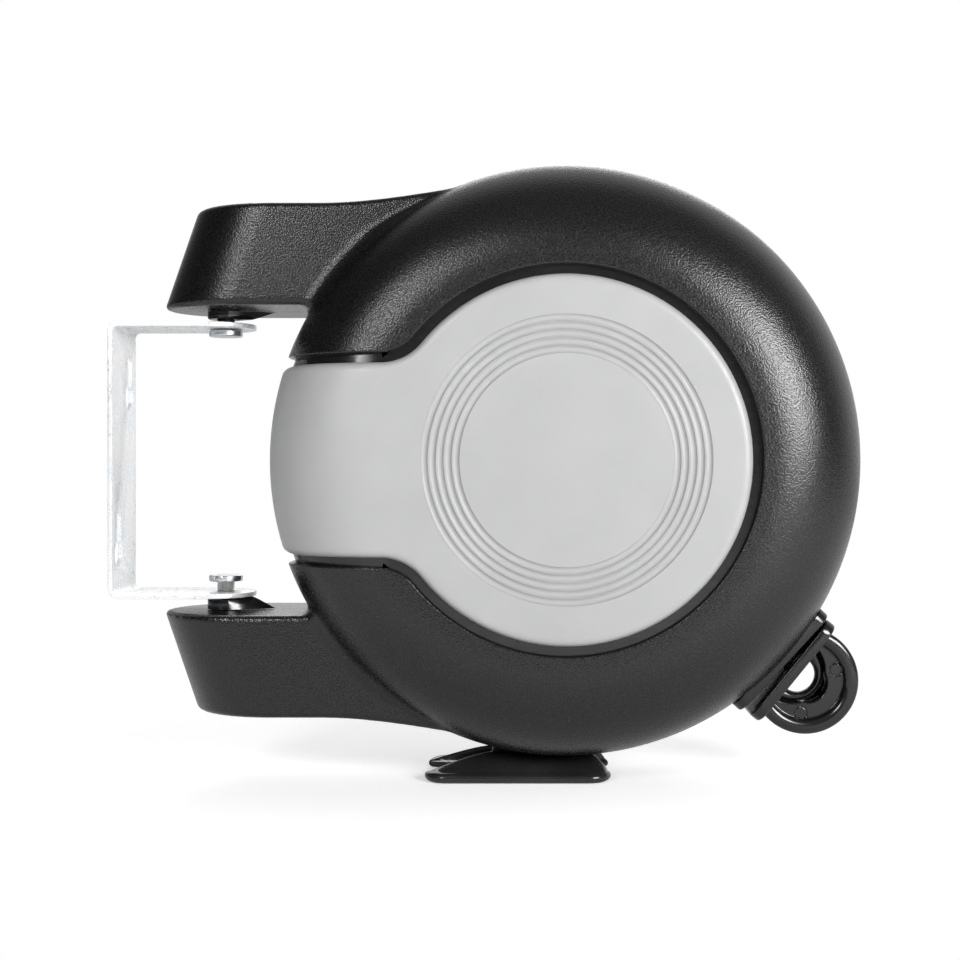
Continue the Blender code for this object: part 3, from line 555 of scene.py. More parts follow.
def carve(obj, steps, solver="MANIFOLD"):
    """Applies cuts and joins, each an (object, operation), and removes their objects."""
    look = obj.data.materials[0] if obj.data.materials else None
    for other, operation in steps:
        made = obj.modifiers.new(other.name, "BOOLEAN")
        made.operation = operation
        made.solver = solver
        made.object = other
    apply_modifiers(obj)
    mesh = obj.data
    mesh.materials.clear()
    if look:
        mesh.materials.append(look)
    mesh.polygons.foreach_set("material_index", np.zeros(len(mesh.polygons), np.int32))
    for other, _ in steps:
        bpy.data.objects.remove(other)
    return obj


def smooth(obj, degrees=34.0):
    obj.data.shade_smooth()
    obj.data.set_sharp_from_angle(angle=math.radians(degrees))


def soften(obj, width):
    """Rounds the sharp edges of a piece with real bevels."""
    made = obj.modifiers.new("edges", "BEVEL")
    made.width = width
    made.segments = 2
    made.limit_method = "ANGLE"
    made.angle_limit = math.radians(50.0)
    apply_modifiers(obj)


def mirror_rear(obj, side):
    """Turns a skin made for the front half into the rear half's."""
    if side > 0:
        obj.data.transform(Matrix.Scale(-1.0, 4, (0, 1, 0)))
        obj.data.flip_normals()


def past_joint(name, side, low, high, depth, matrix=None):
    """A box over all that lies past the joint plane of a half, which keeps half the gap."""
    cut = sorted((side * GAP / 2, -side * depth))
    return box(name, (low[0], cut[0], low[1]), (high[0], cut[1], high[1]), matrix)


def finish_piece(obj, body, slot, *nodes):
    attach(obj, body)
    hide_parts(*nodes)


# --- Distance fields and their skins ---

CORNERS = [(i, j, k) for i in (0, 1) for j in (0, 1) for k in (0, 1)]


def onto_surface(field, points, step):
    """Moves points along the field's slope until they lie on its zero surface."""
    small = 0.05 * step
    for _ in range(4):
        x, y, z = points.T
        value = field(x, y, z)
        slope = np.stack(
            [
                field(x + small, y, z) - field(x - small, y, z),
                field(x, y + small, z) - field(x, y - small, z),
                field(x, y, z + small) - field(x, y, z - small),
            ],
            axis=1,
        ) / (2 * small)
        size = np.maximum((slope**2).sum(axis=1), 1e-3)
        move = np.clip(value / size, -0.6 * step, 0.6 * step)
        points = points - slope * move[:, None]
    return points


def skin(name, field, low, high, step, look=None, matrix=None):
    """A closed quad mesh of a field's zero surface, one vertex for each cell it crosses."""
    axes = [np.arange(a, b + step, step) for a, b in zip(low, high)]
    values = field(axes[0][:, None, None], axes[1][None, :, None], axes[2][None, None, :])
    values = np.broadcast_to(values, [len(a) for a in axes])
    inside = values < 0
    size = [n - 1 for n in inside.shape]

    def corner(array, offset):
        i, j, k = offset
        return array[i : i + size[0], j : j + size[1], k : k + size[2]]

    count = sum(corner(inside, c).astype(np.int8) for c in CORNERS)
    cells = np.argwhere((count > 0) & (count < 8))
    number = np.full(size, -1)
    number[tuple(cells.T)] = np.arange(len(cells))
    held = {c: values[tuple((cells + c).T)] for c in CORNERS}
    total = np.zeros((len(cells), 3))
    crossings = np.zeros(len(cells))
    for a in CORNERS:
        for axis in range(3):
            if a[axis]:
                continue
            b = tuple(1 if i == axis else a[i] for i in range(3))
            crossed = (held[a] < 0) != (held[b] < 0)
            share = np.where(crossed, held[a] / np.where(crossed, held[a] - held[b], 1), 0)
            for i in range(3):
                total[:, i] += crossed * (a[i] + (share if i == axis else 0))
            crossings += crossed
    points = np.array(low) + (cells + total / crossings[:, None]) * step
    points = onto_surface(field, points, step)
    faces = []
    for axis in range(3):
        u, v = (axis + 1) % 3, (axis + 2) % 3
        first = np.moveaxis(inside, (axis, u, v), (0, 1, 2))
        near, far = first[:-1, 1:-1, 1:-1], first[1:, 1:-1, 1:-1]
        numbers = np.moveaxis(number, (axis, u, v), (0, 1, 2))
        at = np.argwhere(near != far)
        a, b, c = at.T
        quad = np.stack(
            [numbers[a, b, c], numbers[a, b + 1, c], numbers[a, b + 1, c + 1], numbers[a, b, c + 1]],
            axis=1,
        )
        outward = near[a, b, c]
        faces.append(np.where(outward[:, None], quad, quad[:, ::-1]))
    faces = np.concatenate(faces)
    mesh = bpy.data.meshes.new(name)
    mesh.from_pydata(points.tolist(), [], faces.tolist())
    if matrix:
        mesh.transform(matrix)
    return new_object(name, mesh, look)


def rounded_and(a, b, radius):
    """Where both fields hold, with the edge between them rounded."""
    away = np.hypot(np.maximum(a + radius, 0), np.maximum(b + radius, 0))
    return np.minimum(-radius, np.maximum(a, b)) + away


def rounded_or(a, b, radius):
    """Where either field holds, with a fillet in the crease between them."""
    near = np.hypot(np.maximum(radius - a, 0), np.maximum(radius - b, 0))
    return np.maximum(radius, np.minimum(a, b)) - near


def case_field(x, y, z):
    """Near enough the distance to the round case without its arms."""
    out = np.hypot(x - REEL_X, z) - (CASE_RADIUS - CASE_SPREAD)
    out = out * CASE_ROUNDING / CASE_SPREAD
    deep = np.abs(y) - (CASE_HALF_DEPTH - CASE_ROUNDING)
    corner = np.hypot(np.maximum(out, 0), np.maximum(deep, 0))
    return corner + np.minimum(np.maximum(out, deep), 0) - CASE_ROUNDING


def arm_top():
    """Points (x, z) of an arm's upper edge, from its level part to the case."""
    share = (ARM_HALF_DEPTH - CASE_HALF_DEPTH + CASE_ROUNDING) / CASE_ROUNDING
    meet = CASE_RADIUS - CASE_SPREAD * (1 - math.sqrt(1 - share**2))
    end = arc((REEL_X, 0.0), meet, ARM_BLEND_END, ARM_BLEND_END, 1)[0]
    s = np.linspace(1, 0, 60)
    over = ARM_OUTER_Z + (end[1] - ARM_OUTER_Z) * (1 - s) ** 2 * (1 + 2 * s)
    over = over - ARM_BLEND_SLOPE * ARM_BLEND_LENGTH * s * (1 - s) ** 2
    return end[0] - ARM_BLEND_LENGTH * s, over


ARM_TOP = arm_top()


def arm_plan(x, y, height):
    """The arm seen from above: straight sides and a half-elliptical tip that leans back."""
    tip = ARM_TIP_X + ARM_TIP_SLOPE * (height - ARM_INNER_Z) + ARM_TIP_LENGTH
    ahead = np.minimum(x - tip, 0) * ARM_HALF_DEPTH / ARM_TIP_LENGTH
    return np.hypot(ahead, y) - ARM_HALF_DEPTH


def arm_field(x, y, z):
    height = np.abs(z)
    top = np.interp(x, ARM_TOP[0], ARM_TOP[1])
    side = rounded_and(height - top, ARM_INNER_Z - height, 0.0020)
    arm = rounded_and(side, arm_plan(x, y, height), 0.0022)
    return np.maximum(arm, x - REEL_X + 0.036)


def body_field(x, y, z):
    """The case joined to its arms, with a fillet that dies out towards the top edge."""
    top = np.interp(x, ARM_TOP[0], ARM_TOP[1])
    fade = np.clip((top - np.abs(z)) / 0.016, 0, 1)
    crease = 0.0010 + (CREASE - 0.0010) * fade * fade * (3 - 2 * fade)
    joined = rounded_or(case_field(x, y, z), arm_field(x, y, z), crease)
    return np.maximum(joined, y - 0.0022)


def keyhole_sizes(grow):
    """Radius of the disc, half height of the strip, radius of the fillet between them, and
    how far the fillet's centre lies to the left of the disc's and above it."""
    radius = PANEL_RADIUS + grow
    half = STRIP_HALF_HEIGHT + grow
    fillet = PANEL_FILLET - grow
    reach, rise = radius + fillet, half + fillet
    return radius, half, fillet, math.sqrt(reach**2 - rise**2), rise


def keyhole_field(x, z):
    """Distance in the side view to the disc and the strip that runs to the left rim."""
    radius, half, fillet, run, rise = keyhole_sizes(0.0)
    height = np.abs(z)
    circle = np.hypot(x - REEL_X, z) - radius
    strip = np.maximum(height - half, x - REEL_X)
    across, up = x - (REEL_X - run), height - rise
    within = (across >= 0) & (-across * rise - up * run >= 0)
    return np.where(within, fillet - np.hypot(across, up), np.minimum(circle, strip))


def panel_field(x, y, z):
    outside = case_field(x, y, z)
    edge = rounded_and(outside, keyhole_field(x, z), PANEL_EDGE)
    return np.maximum(np.maximum(edge, -outside - 0.0042), y - 0.0022)


# --- Case ---


def case_profile(inset, side, past):
    points = []
    for i in range(25):
        turn = math.pi / 2 * (1 - i / 24)
        r = CASE_RADIUS - CASE_SPREAD + (CASE_SPREAD - inset) * math.cos(turn)
        y = CASE_HALF_DEPTH - CASE_ROUNDING + (CASE_ROUNDING - inset) * math.sin(turn)
        points.append((r, side * y))
    return points + [(CASE_RADIUS - inset, -side * past)]


def case_solid(name, inset, side, past):
    return disc(name, case_profile(inset, side, past), (REEL_X, 0.0))


def keyhole_outline(grow, left):
    radius, half, fillet, run, rise = keyhole_sizes(grow)
    meet = math.degrees(math.atan2(rise, -run))
    corner = (REEL_X - run, rise)
    upper = [(left, half)] + arc(corner, fillet, 270.0, meet + 180.0, 16)
    around = arc((REEL_X, 0.0), radius, meet, -meet, 180)
    lower = [(x, -z) for x, z in reversed(upper)]
    return upper + around[1:-1] + lower


def channel_path():
    """Points on the front surface above the channel's outer edge, each with its outward
    direction along the surface and the surface's normal."""
    half = STRIP_HALF_HEIGHT + CHANNEL_WIDTH
    bend_y = CASE_HALF_DEPTH - CASE_ROUNDING
    path = [(CASE_RADIUS, 0.0030 - (bend_y + 0.0030) * i / 5, 1.0, 0.0) for i in range(5)]
    for i in range(33):
        turn = math.pi / 2 * i / 32
        r = CASE_RADIUS - CASE_SPREAD * (1 - math.cos(turn))
        y = -bend_y - CASE_ROUNDING * math.sin(turn)
        path.append((r, y, math.cos(turn) / CASE_SPREAD, math.sin(turn) / CASE_ROUNDING))
    rim = []
    for r, y, steep, level in path:
        x = -math.sqrt(r**2 - half**2)
        normal = Vector((steep * x / r, -level, steep * half / r)).normalized()
        outward = (Vector((0, 0, 1)) - normal.z * normal).normalized()
        rim.append((Vector((REEL_X + x, y, half)), outward, normal))
    outline = keyhole_outline(CHANNEL_WIDTH, 0.0)[1:-1]
    face = Vector((0, -1, 0))
    flat = []
    for i in range(1, len(outline) - 1):
        ahead = Vector(outline[i + 1]) - Vector(outline[i - 1])
        outward = Vector((-ahead.y, 0, ahead.x)).normalized()
        point = Vector((outline[i][0], -CASE_HALF_DEPTH, outline[i][1]))
        flat.append((point, outward, face))
    under = []
    for point, outward, normal in reversed(rim):
        flip = Vector((1, 1, -1))
        under.append((point * flip, outward * flip, normal * flip))
    return rim + flat + under


def channel_cutter(name, side):
    """The channel beside the panel, with its outer edge rounded over."""
    edge = CHANNEL_EDGE
    section = [(edge, 0.0015), (edge, 0.0)]
    for i in range(1, 5):
        turn = math.pi / 8 * i
        section.append((edge - edge * math.sin(turn), edge * math.cos(turn) - edge))
    section += [(0.0, -RECESS_DEPTH), (-0.0055, -RECESS_DEPTH), (-0.0055, 0.0015)]
    rings = []
    for point, outward, normal in channel_path():
        rings.append([point + outward * t + normal * n for t, n in section])
    return lofted(name, rings, None, Matrix.Scale(-1.0, 4, (0, 1, 0)) if side > 0 else None)


def recess_cutter(name, side):
    """The floor under the panel."""
    outline = keyhole_outline(CHANNEL_WIDTH - 0.0045, REEL_X - 0.140)
    floor = prism(name, outline, -side * 0.002, side * 0.060)
    below = case_solid(name + "_floor", RECESS_DEPTH, side, 0.004)
    return carve(floor, [(below, "DIFFERENCE")])


def outlet_frame():
    return Matrix.Translation((REEL_X, 0, 0)) @ Matrix.Rotation(OUTLET_ANGLE, 4, "Y")


def handle_frame():
    pivot = Matrix.Translation((STOP_FACE, 0, STOP_HALF_LENGTH))
    return outlet_frame() @ pivot @ Matrix.Rotation(-HANDLE_TILT, 4, "Y") @ pivot.inverted()


def screw_points():
    points = []
    for angle in SCREW_ANGLES:
        points += arc((REEL_X, 0.0), SCREW_CIRCLE, angle, angle, 1)[:1]
    return points + [(ARM_SCREW[0], ARM_SCREW[1]), (ARM_SCREW[0], -ARM_SCREW[1])]


def rounded_plate(half_t, half_y, radius, count=10):
    points = []
    for sy, st, start in ((1, 1, 0.0), (-1, 1, 90.0), (-1, -1, 180.0), (1, -1, 270.0)):
        centre = (sy * (half_y - radius), st * (half_t - radius))
        points += arc(centre, radius, start, start + 90.0, count)
    return points


def arm_hollow(name, side):
    """Cavity of the arms, open to the joint plane."""

    def hollow(x, y, z):
        top = np.interp(x, ARM_TOP[0], ARM_TOP[1])
        height = np.abs(z)
        flat = np.maximum(height - top + WALL, ARM_INNER_Z + WALL - height)
        plan = arm_plan(x, y, height) + WALL
        hollow_part = np.maximum(np.maximum(flat, plan), x - REEL_X + 0.050)
        return np.maximum(hollow_part, np.abs(y - side * 0.015) - 0.0183)

    low = (0.022, -0.036, -0.120)
    high = (REEL_X - 0.045, 0.036, 0.120)
    return skin(name, hollow, low, high, 0.0031)


def supports(name, side):
    """Axle boss, outlet frame and screw pillars inside a half of the case."""
    boss = ((0, SUPPORT_RADIUS), (0.036, SUPPORT_RADIUS))
    made = turned(name, (REEL_X, side * 0.0212, 0), (0, side, 0), boss)
    low, high = (0.118, -0.028, -0.032), (0.135, 0.028, 0.032)
    steps = [(box(name + "_outlet", low, high, outlet_frame()), "UNION")]
    pillar = ((-0.002, PILLAR_RADIUS), (0.060, PILLAR_RADIUS))
    for i, (x, z) in enumerate(screw_points()[:4]):
        steps.append((turned(f"{name}_pillar_{i}", (x, 0, z), (0, side, 0), pillar, 24), "UNION"))
    steps.append((case_solid(name + "_trim", 0.0013, side, 0.004), "INTERSECT"))
    return carve(made, steps)


def arm_supports(name, side):
    """Pivot blocks and screw pillars inside a half of the arms."""
    bm = bmesh.new()
    block = ((0, SUPPORT_RADIUS), (0.020, SUPPORT_RADIUS))
    for sign in (1, -1):
        add_steps(bm, (PIVOT_X, 0, sign * (ARM_INNER_Z + 0.001)), (0, 0, sign), block, 32)
    for x, z in screw_points()[4:]:
        add_steps(bm, (x, 0, z), (0, side, 0), ((-0.002, PILLAR_RADIUS), (0.029, PILLAR_RADIUS)), 24)
    return from_bmesh(name, bm)


def thin_cavity(name, side):
    """Cavity of the round case, all but what lies behind the panel and its channel."""
    outline = keyhole_outline(CHANNEL_WIDTH + WALL, REEL_X - CASE_RADIUS - 0.006)
    behind = prism(name + "_keep", outline, -side * 0.003, side * 0.060)
    return carve(case_solid(name, WALL, side, 0.0014), [(behind, "DIFFERENCE")])


def hole_cutters(name, side):
    """Outlet opening, bezel pocket, bush holes, cleat slot, axle socket and screw holes, and
    a box that ends the half at the joint plane."""
    low = (0.110, -SPIGOT_HALF_WIDTH - GAP, -SPIGOT_HALF_LENGTH - GAP)
    high = (0.140, SPIGOT_HALF_WIDTH + GAP, SPIGOT_HALF_LENGTH + GAP)
    opening = box(name + "_opening", low, high, outlet_frame())
    outline = rounded_plate(BEZEL_HALF_LENGTH + GAP, BEZEL_HALF_WIDTH + GAP, 0.0063)
    rings = [[(u, y, t) for y, t in outline] for u in (BEZEL_FACE - BEZEL_THICKNESS - GAP, 0.150)]
    pocket = lofted(name + "_pocket", rings, None, outlet_frame())
    bm = bmesh.new()
    depth = BUSH_END_Z + 2 * GAP - 0.060
    hole = ((0, BUSH_SLEEVE_RADIUS + GAP), (depth, BUSH_SLEEVE_RADIUS + GAP))
    for sign in (1, -1):
        add_steps(bm, (PIVOT_X, 0, sign * 0.060), (0, 0, sign), hole)
    length, width = TENON_HALF_LENGTH + GAP, TENON_HALF_WIDTH + GAP
    add_box(bm, (CLEAT_X - length, -width, -0.133), (CLEAT_X + length, width, -0.122))
    socket = ((0, AXLE_RADIUS + GAP), (AXLE_HALF_LENGTH + GAP - 0.019, AXLE_RADIUS + GAP))
    add_steps(bm, (REEL_X, side * 0.019, 0), (0, side, 0), socket)
    wide, narrow = SCREW_HEAD_RADIUS + GAP, SCREW_RADIUS + GAP
    seat = SCREW_HEAD_Y - GAP
    if side > 0:
        hole = ((-0.004, narrow), (seat, narrow), (seat, wide), (0.060, wide))
    else:
        hole = ((-0.004, narrow), (0.0145, narrow))
    for x, z in screw_points():
        add_steps(bm, (x, 0, z), (0, side, 0), hole, 40)
    holes = from_bmesh(name + "_holes", bm)
    past = past_joint(name + "_past", side, (-0.050, -0.200), (0.400, 0.200), 0.080)
    return [(cutter, "DIFFERENCE") for cutter in (opening, pocket, holes, past)]


def paint_channel(shell, side, gloss):
    """Gives the channel's walls and floor the polished finish, up to its rounded edge."""
    shell.data.materials.append(gloss)
    faces = shell.data.polygons
    centres = np.empty(len(faces) * 3)
    faces.foreach_get("center", centres)
    x, y, z = centres.reshape(-1, 3).T
    inside = keyhole_field(x, z) < CHANNEL_WIDTH + 0.35 * CHANNEL_EDGE
    shallow = case_field(x, y, z)
    chosen = inside & (shallow > -0.0040) & (shallow < -0.00004) & (side * y > 0)
    faces.foreach_set("material_index", chosen.astype(np.int32))


def build_shell(name, side, look, gloss):
    low = (0.018, -0.059, -0.133)
    high = (REEL_X + 0.131, 0.006, 0.133)
    shell = skin(name, body_field, low, high, 0.00125, look)
    mirror_rear(shell, side)
    steps = [
        (case_solid(name + "_deep", WALL + RECESS_DEPTH, side, 0.001), "DIFFERENCE"),
        (thin_cavity(name + "_thin", side), "DIFFERENCE"),
        (arm_hollow(name + "_arms", side), "DIFFERENCE"),
        (supports(name + "_supports", side), "UNION"),
        (arm_supports(name + "_arm_supports", side), "UNION"),
        (recess_cutter(name + "_recess", side), "DIFFERENCE"),
        (channel_cutter(name + "_channel", side), "DIFFERENCE"),
    ]
    carve(shell, steps + hole_cutters(name + "_hole", side))
    paint_channel(shell, side, gloss)
    smooth(shell)
    finish_piece(shell, "case", "grained_black", name)


def build_panel(name, side, look):
    low = (REEL_X - 0.130, -0.0575, -0.080)
    high = (REEL_X + 0.080, 0.0045, 0.080)
    panel = skin(name, panel_field, low, high, 0.0011, look)
    mirror_rear(panel, side)
    cutters = [case_solid(name + "_back", PANEL_THICKNESS, side, 0.006)]
    section = ((-0.00175, 0.0005), (-0.00150, -0.0001), (-0.00095, -0.00065))
    section += ((-0.00035, -0.00095),)
    section += tuple((-r, y) for r, y in reversed(section))
    for i, radius in enumerate(GROOVE_RADII):
        profile = [(radius + r, side * CASE_HALF_DEPTH + side * y) for r, y in section]
        cutters.append(hoop(f"{name}_groove_{i}", profile, (REEL_X, 0.0), 256))
    cutters.append(past_joint(name + "_past", side, (0.0, -0.100), (0.400, 0.100), 0.080))
    carve(panel, [(cutter, "DIFFERENCE") for cutter in cutters])
    smooth(panel)
    finish_piece(panel, "case", "satin_grey", name)


# --- Bracket, pins and bushes ---


def bracket_outline():
    half = BRACKET_HALF_HEIGHT
    bend = BRACKET_BEND
    inner = bend - STEEL
    end = BRACKET_REACH + 0.004
    outer = arc((bend, half - bend), bend, 90.0, 180.0, 12)
    outer += arc((bend, bend - half), bend, 180.0, 270.0, 12)
    inside = arc((bend, bend - half), inner, 270.0, 180.0, 12)
    inside += arc((bend, half - bend), inner, 180.0, 90.0, 12)
    ends = [(end, -half), (end, STEEL - half)]
    return [(end, half)] + outer + ends + inside + [(end, half - STEEL)]


def add_keyhole(bm, y, top):
    low = top - KEYHOLE_LENGTH + KEYHOLE_ROUND
    high = top - KEYHOLE_NARROW
    meet = math.degrees(math.acos(KEYHOLE_NARROW / KEYHOLE_ROUND))
    ring = arc((y, low), KEYHOLE_ROUND, meet, -180.0 - meet, 32)
    ring += arc((y, high), KEYHOLE_NARROW, 180.0, 0.0, 16)
    loft(bm, [[(x, py, pz) for py, pz in ring] for x in (-0.005, 0.010)])


def build_bracket(look):
    half = BRACKET_HALF_WIDTH
    bracket = prism("wall_bracket_visual", bracket_outline(), -half, half, look)
    centre = BRACKET_REACH - half
    ring = [(-0.005, 0.030), (-0.005, -0.030), (centre - 0.001, -0.030), (centre - 0.001, -half)]
    ring += arc((centre, 0.0), half, -90.0, 90.0, 48)
    ring += [(centre - 0.001, half), (centre - 0.001, 0.030)]
    plan = lofted("bracket_plan", [[(x, y, z) for x, y in ring] for z in (-0.080, 0.080)])
    bm = bmesh.new()
    hole = ((0, PIN_RADIUS + GAP), (0.020, PIN_RADIUS + GAP))
    for sign in (1, -1):
        add_steps(bm, (PIVOT_X, 0, sign * 0.050), (0, 0, sign), hole)
    for sign in (1, -1):
        add_keyhole(bm, sign * KEYHOLE_OFFSET, sign * KEYHOLE_Z + KEYHOLE_LENGTH / 2)
    holes = from_bmesh("bracket_holes", bm)
    carve(bracket, [(plan, "INTERSECT"), (holes, "DIFFERENCE")], "EXACT")
    soften(bracket, 0.00022)
    smooth(bracket)
    finish_piece(bracket, "bracket", "zinc_steel", "wall_bracket")


def build_pin(name, sign, head_z, look):
    """Headed pin, domed a little on its face, with rolled edges on the head."""
    head, roll = PIN_HEAD_RADIUS, PIN_HEAD_ROLL
    inner = head_z - PIN_HEAD_THICKNESS
    steps = [(inner, 0.0006), (inner + 0.00003, 0.0035), (inner + 0.00015, head - 0.0010)]
    steps += [(inner + roll - y, head - roll + r) for r, y in arc((0, 0), roll, 70.0, 0.0, 5)]
    steps += [(head_z - roll + y, head - roll + r) for r, y in arc((0, 0), roll, 0.0, 90.0, 5)]
    steps += [(head_z, PIN_RADIUS + 0.0004), (head_z + 0.0004, PIN_RADIUS)]
    steps += [(PIN_END_Z - 0.001, PIN_RADIUS), (PIN_END_Z, PIN_RADIUS - 0.001)]
    pin = turned(name + "_visual", (PIVOT_X, 0, 0), (0, 0, sign), steps, 72, look)
    smooth(pin, 50.0)
    finish_piece(pin, "bracket", "zinc_steel", name)


def build_bush(name, sign, face_z, look):
    """Sleeve in the arm under a teardrop boss whose ridge runs out to a point."""
    seat = ARM_INNER_Z - GAP
    tangent = math.degrees(math.acos(BUSH_RADIUS / BUSH_TIP))
    around = arc((PIVOT_X, 0.0), 1.0, tangent, 360.0 - tangent, 56)
    rings = []
    for share, shrink in ((0.0, 0.0007), (0.10, 0.0002), (0.25, 0.0), (0.6, 0.0), (1.0, 0.0)):
        z = face_z + (seat - face_z) * share
        radius = BUSH_RADIUS - shrink
        tip = BUSH_RADIUS + 0.0040 + (BUSH_TIP - BUSH_RADIUS - 0.0040) * share - shrink
        ring = []
        for x, y in around:
            ring.append((PIVOT_X + (x - PIVOT_X) * radius, y * radius, sign * z))
        last, first = Vector(ring[-1]), Vector(ring[0])
        point = Vector((PIVOT_X + tip, 0.0, sign * z))
        ring += [last.lerp(point, 0.5), point, first.lerp(point, 0.5)]
        rings.append([tuple(p) for p in ring])
    bush = lofted(name + "_visual", rings, look)
    start = seat - 0.0009
    steps = ((0, BUSH_SLEEVE_RADIUS), (BUSH_END_Z - start, BUSH_SLEEVE_RADIUS))
    sleeve = turned(name + "_sleeve", (PIVOT_X, 0, sign * start), (0, 0, sign), steps)
    steps = ((0, PIN_RADIUS + GAP), (PIN_END_Z + GAP - 0.055, PIN_RADIUS + GAP))
    bore = turned(name + "_bore", (PIVOT_X, 0, sign * 0.055), (0, 0, sign), steps)
    carve(bush, [(sleeve, "UNION"), (bore, "DIFFERENCE")], "EXACT")
    smooth(bush, 30.0)
    finish_piece(bush, "case", "gloss_black", name)


# --- Outlet, stop plate and line ---


def plate_rings(half_t, half_y, radius, low, high, round_low, round_high):
    """Rings of a plate with rounded edges, from its lower face to its upper one."""
    turns = [math.pi / 2 * i / 4 for i in range(5)]
    quarter = [(1 - math.cos(turn), 1 - math.sin(turn)) for turn in turns]
    rings = [(low, 0.0)]
    if round_low:
        rings = [(low + round_low * a, round_low * b) for a, b in quarter]
    rings += [(high - round_high * b, round_high * a) for a, b in quarter]
    made = []
    for u, inset in rings:
        outline = rounded_plate(half_t - inset, half_y - inset, radius - inset)
        made.append([(u, y, t) for y, t in outline])
    return made


def line_holes(name, steps, matrix):
    bm = bmesh.new()
    for side in (-1, 1):
        add_steps(bm, (0, side * LINE_SPACING / 2, 0), (1, 0, 0), steps, 32)
    place(bm, matrix)
    return from_bmesh(name, bm)


def build_bezel(look):
    seat = BEZEL_FACE - BEZEL_THICKNESS
    size = (BEZEL_HALF_LENGTH, BEZEL_HALF_WIDTH, 0.006)
    rings = plate_rings(*size, seat, BEZEL_FACE, 0.0, 0.0009)
    bezel = lofted("outlet_bezel_visual", rings, look, outlet_frame())
    low = (SPIGOT_END, -SPIGOT_HALF_WIDTH, -SPIGOT_HALF_LENGTH)
    high = (seat + 0.001, SPIGOT_HALF_WIDTH, SPIGOT_HALF_LENGTH)
    spigot = box("bezel_spigot", low, high, outlet_frame())
    radius = LINE_RADIUS + 0.0006
    hole = ((0.110, radius), (BEZEL_FACE - 0.0010, radius), (BEZEL_FACE - 0.0003, radius + 0.0003))
    hole += ((BEZEL_FACE + 0.0001, radius + 0.0010), (0.140, radius + 0.0012))
    holes = line_holes("bezel_holes", hole, outlet_frame())
    carve(bezel, [(spigot, "UNION"), (holes, "DIFFERENCE")], "EXACT")
    smooth(bezel)
    finish_piece(bezel, "case", "gloss_black", "outlet_bezel")


def build_stop_plate(look):
    size = (STOP_HALF_LENGTH, STOP_HALF_WIDTH, 0.0065)
    rings = plate_rings(*size, STOP_FACE, STOP_FACE + STOP_THICKNESS, 0.0009, 0.0011)
    plate = lofted("stop_plate_visual", rings, look, handle_frame())
    narrow, wide = LINE_RADIUS + GAP, KNOT_RADIUS + GAP
    hole = ((STOP_FACE - 0.002, narrow), (STOP_FACE + 0.0012, narrow))
    hole += ((STOP_FACE + 0.0012, wide), (STOP_FACE + 0.008, wide))
    carve(plate, [(line_holes("plate_holes", hole, handle_frame()), "DIFFERENCE")], "EXACT")
    smooth(plate)
    finish_piece(plate, "handle", "gloss_black", "stop_plate")


def line_points(side):
    """Centres and radii of one line, from its winding to the knot in the stop plate."""
    y = side * LINE_SPACING / 2
    radius = WINDING_RADIUS + LINE_RADIUS + GAP
    mouth = SPIGOT_END - 0.0040
    angle = math.acos(radius / mouth)
    start = Vector((radius * math.cos(angle), y, radius * math.sin(angle)))
    bend = Vector((mouth - 0.0030, y, 0.0026))
    points = [start.lerp(bend, i / 12) for i in range(13)]
    for u, t in ((mouth, 0.0004), (mouth + 0.0030, 0.0), (BEZEL_FACE - 0.0040, 0.0)):
        points.append(Vector((u, y, t)))
    points = [(outlet_frame() @ point, LINE_RADIUS) for point in points]
    out = points[-1][0]
    into = handle_frame() @ Vector((STOP_FACE + 0.0006, y, 0.0))
    for i in range(1, 49):
        points.append((out.lerp(into, i / 48), LINE_RADIUS))
    along = (handle_frame().to_3x3() @ Vector((1, 0, 0))).normalized()
    knot = ((0.0010, LINE_RADIUS), (0.0012, KNOT_RADIUS - 0.0003), (0.0016, KNOT_RADIUS))
    knot += ((0.0026, KNOT_RADIUS), (0.0031, KNOT_RADIUS - 0.0004), (0.0034, KNOT_RADIUS - 0.0014))
    for distance, r in knot:
        points.append((into + along * distance, r))
    return points, out, into


def build_line(name, side, look, *nodes):
    """One line, lofted as a tube from its winding to the knot in the stop plate; it is not made to
    stretch when the handle is pulled.
    """
    points, out, into = line_points(side)
    across = Vector((0, 1, 0))
    rings = []
    for i, (point, radius) in enumerate(points):
        before, after = points[max(i - 1, 0)][0], points[min(i + 1, len(points) - 1)][0]
        ahead = (after - before).normalized()
        up = ahead.cross(across).normalized()
        ring = []
        for k in range(24):
            turn = 2 * math.pi * k / 24
            ring.append(point + radius * (math.cos(turn) * across + math.sin(turn) * up))
        rings.append(ring)
    line = lofted(name, rings, look)
    smooth(line, 50.0)
    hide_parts(*nodes)
    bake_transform(line)


# --- Pull handle, in the outlet frame's u, y and t ---


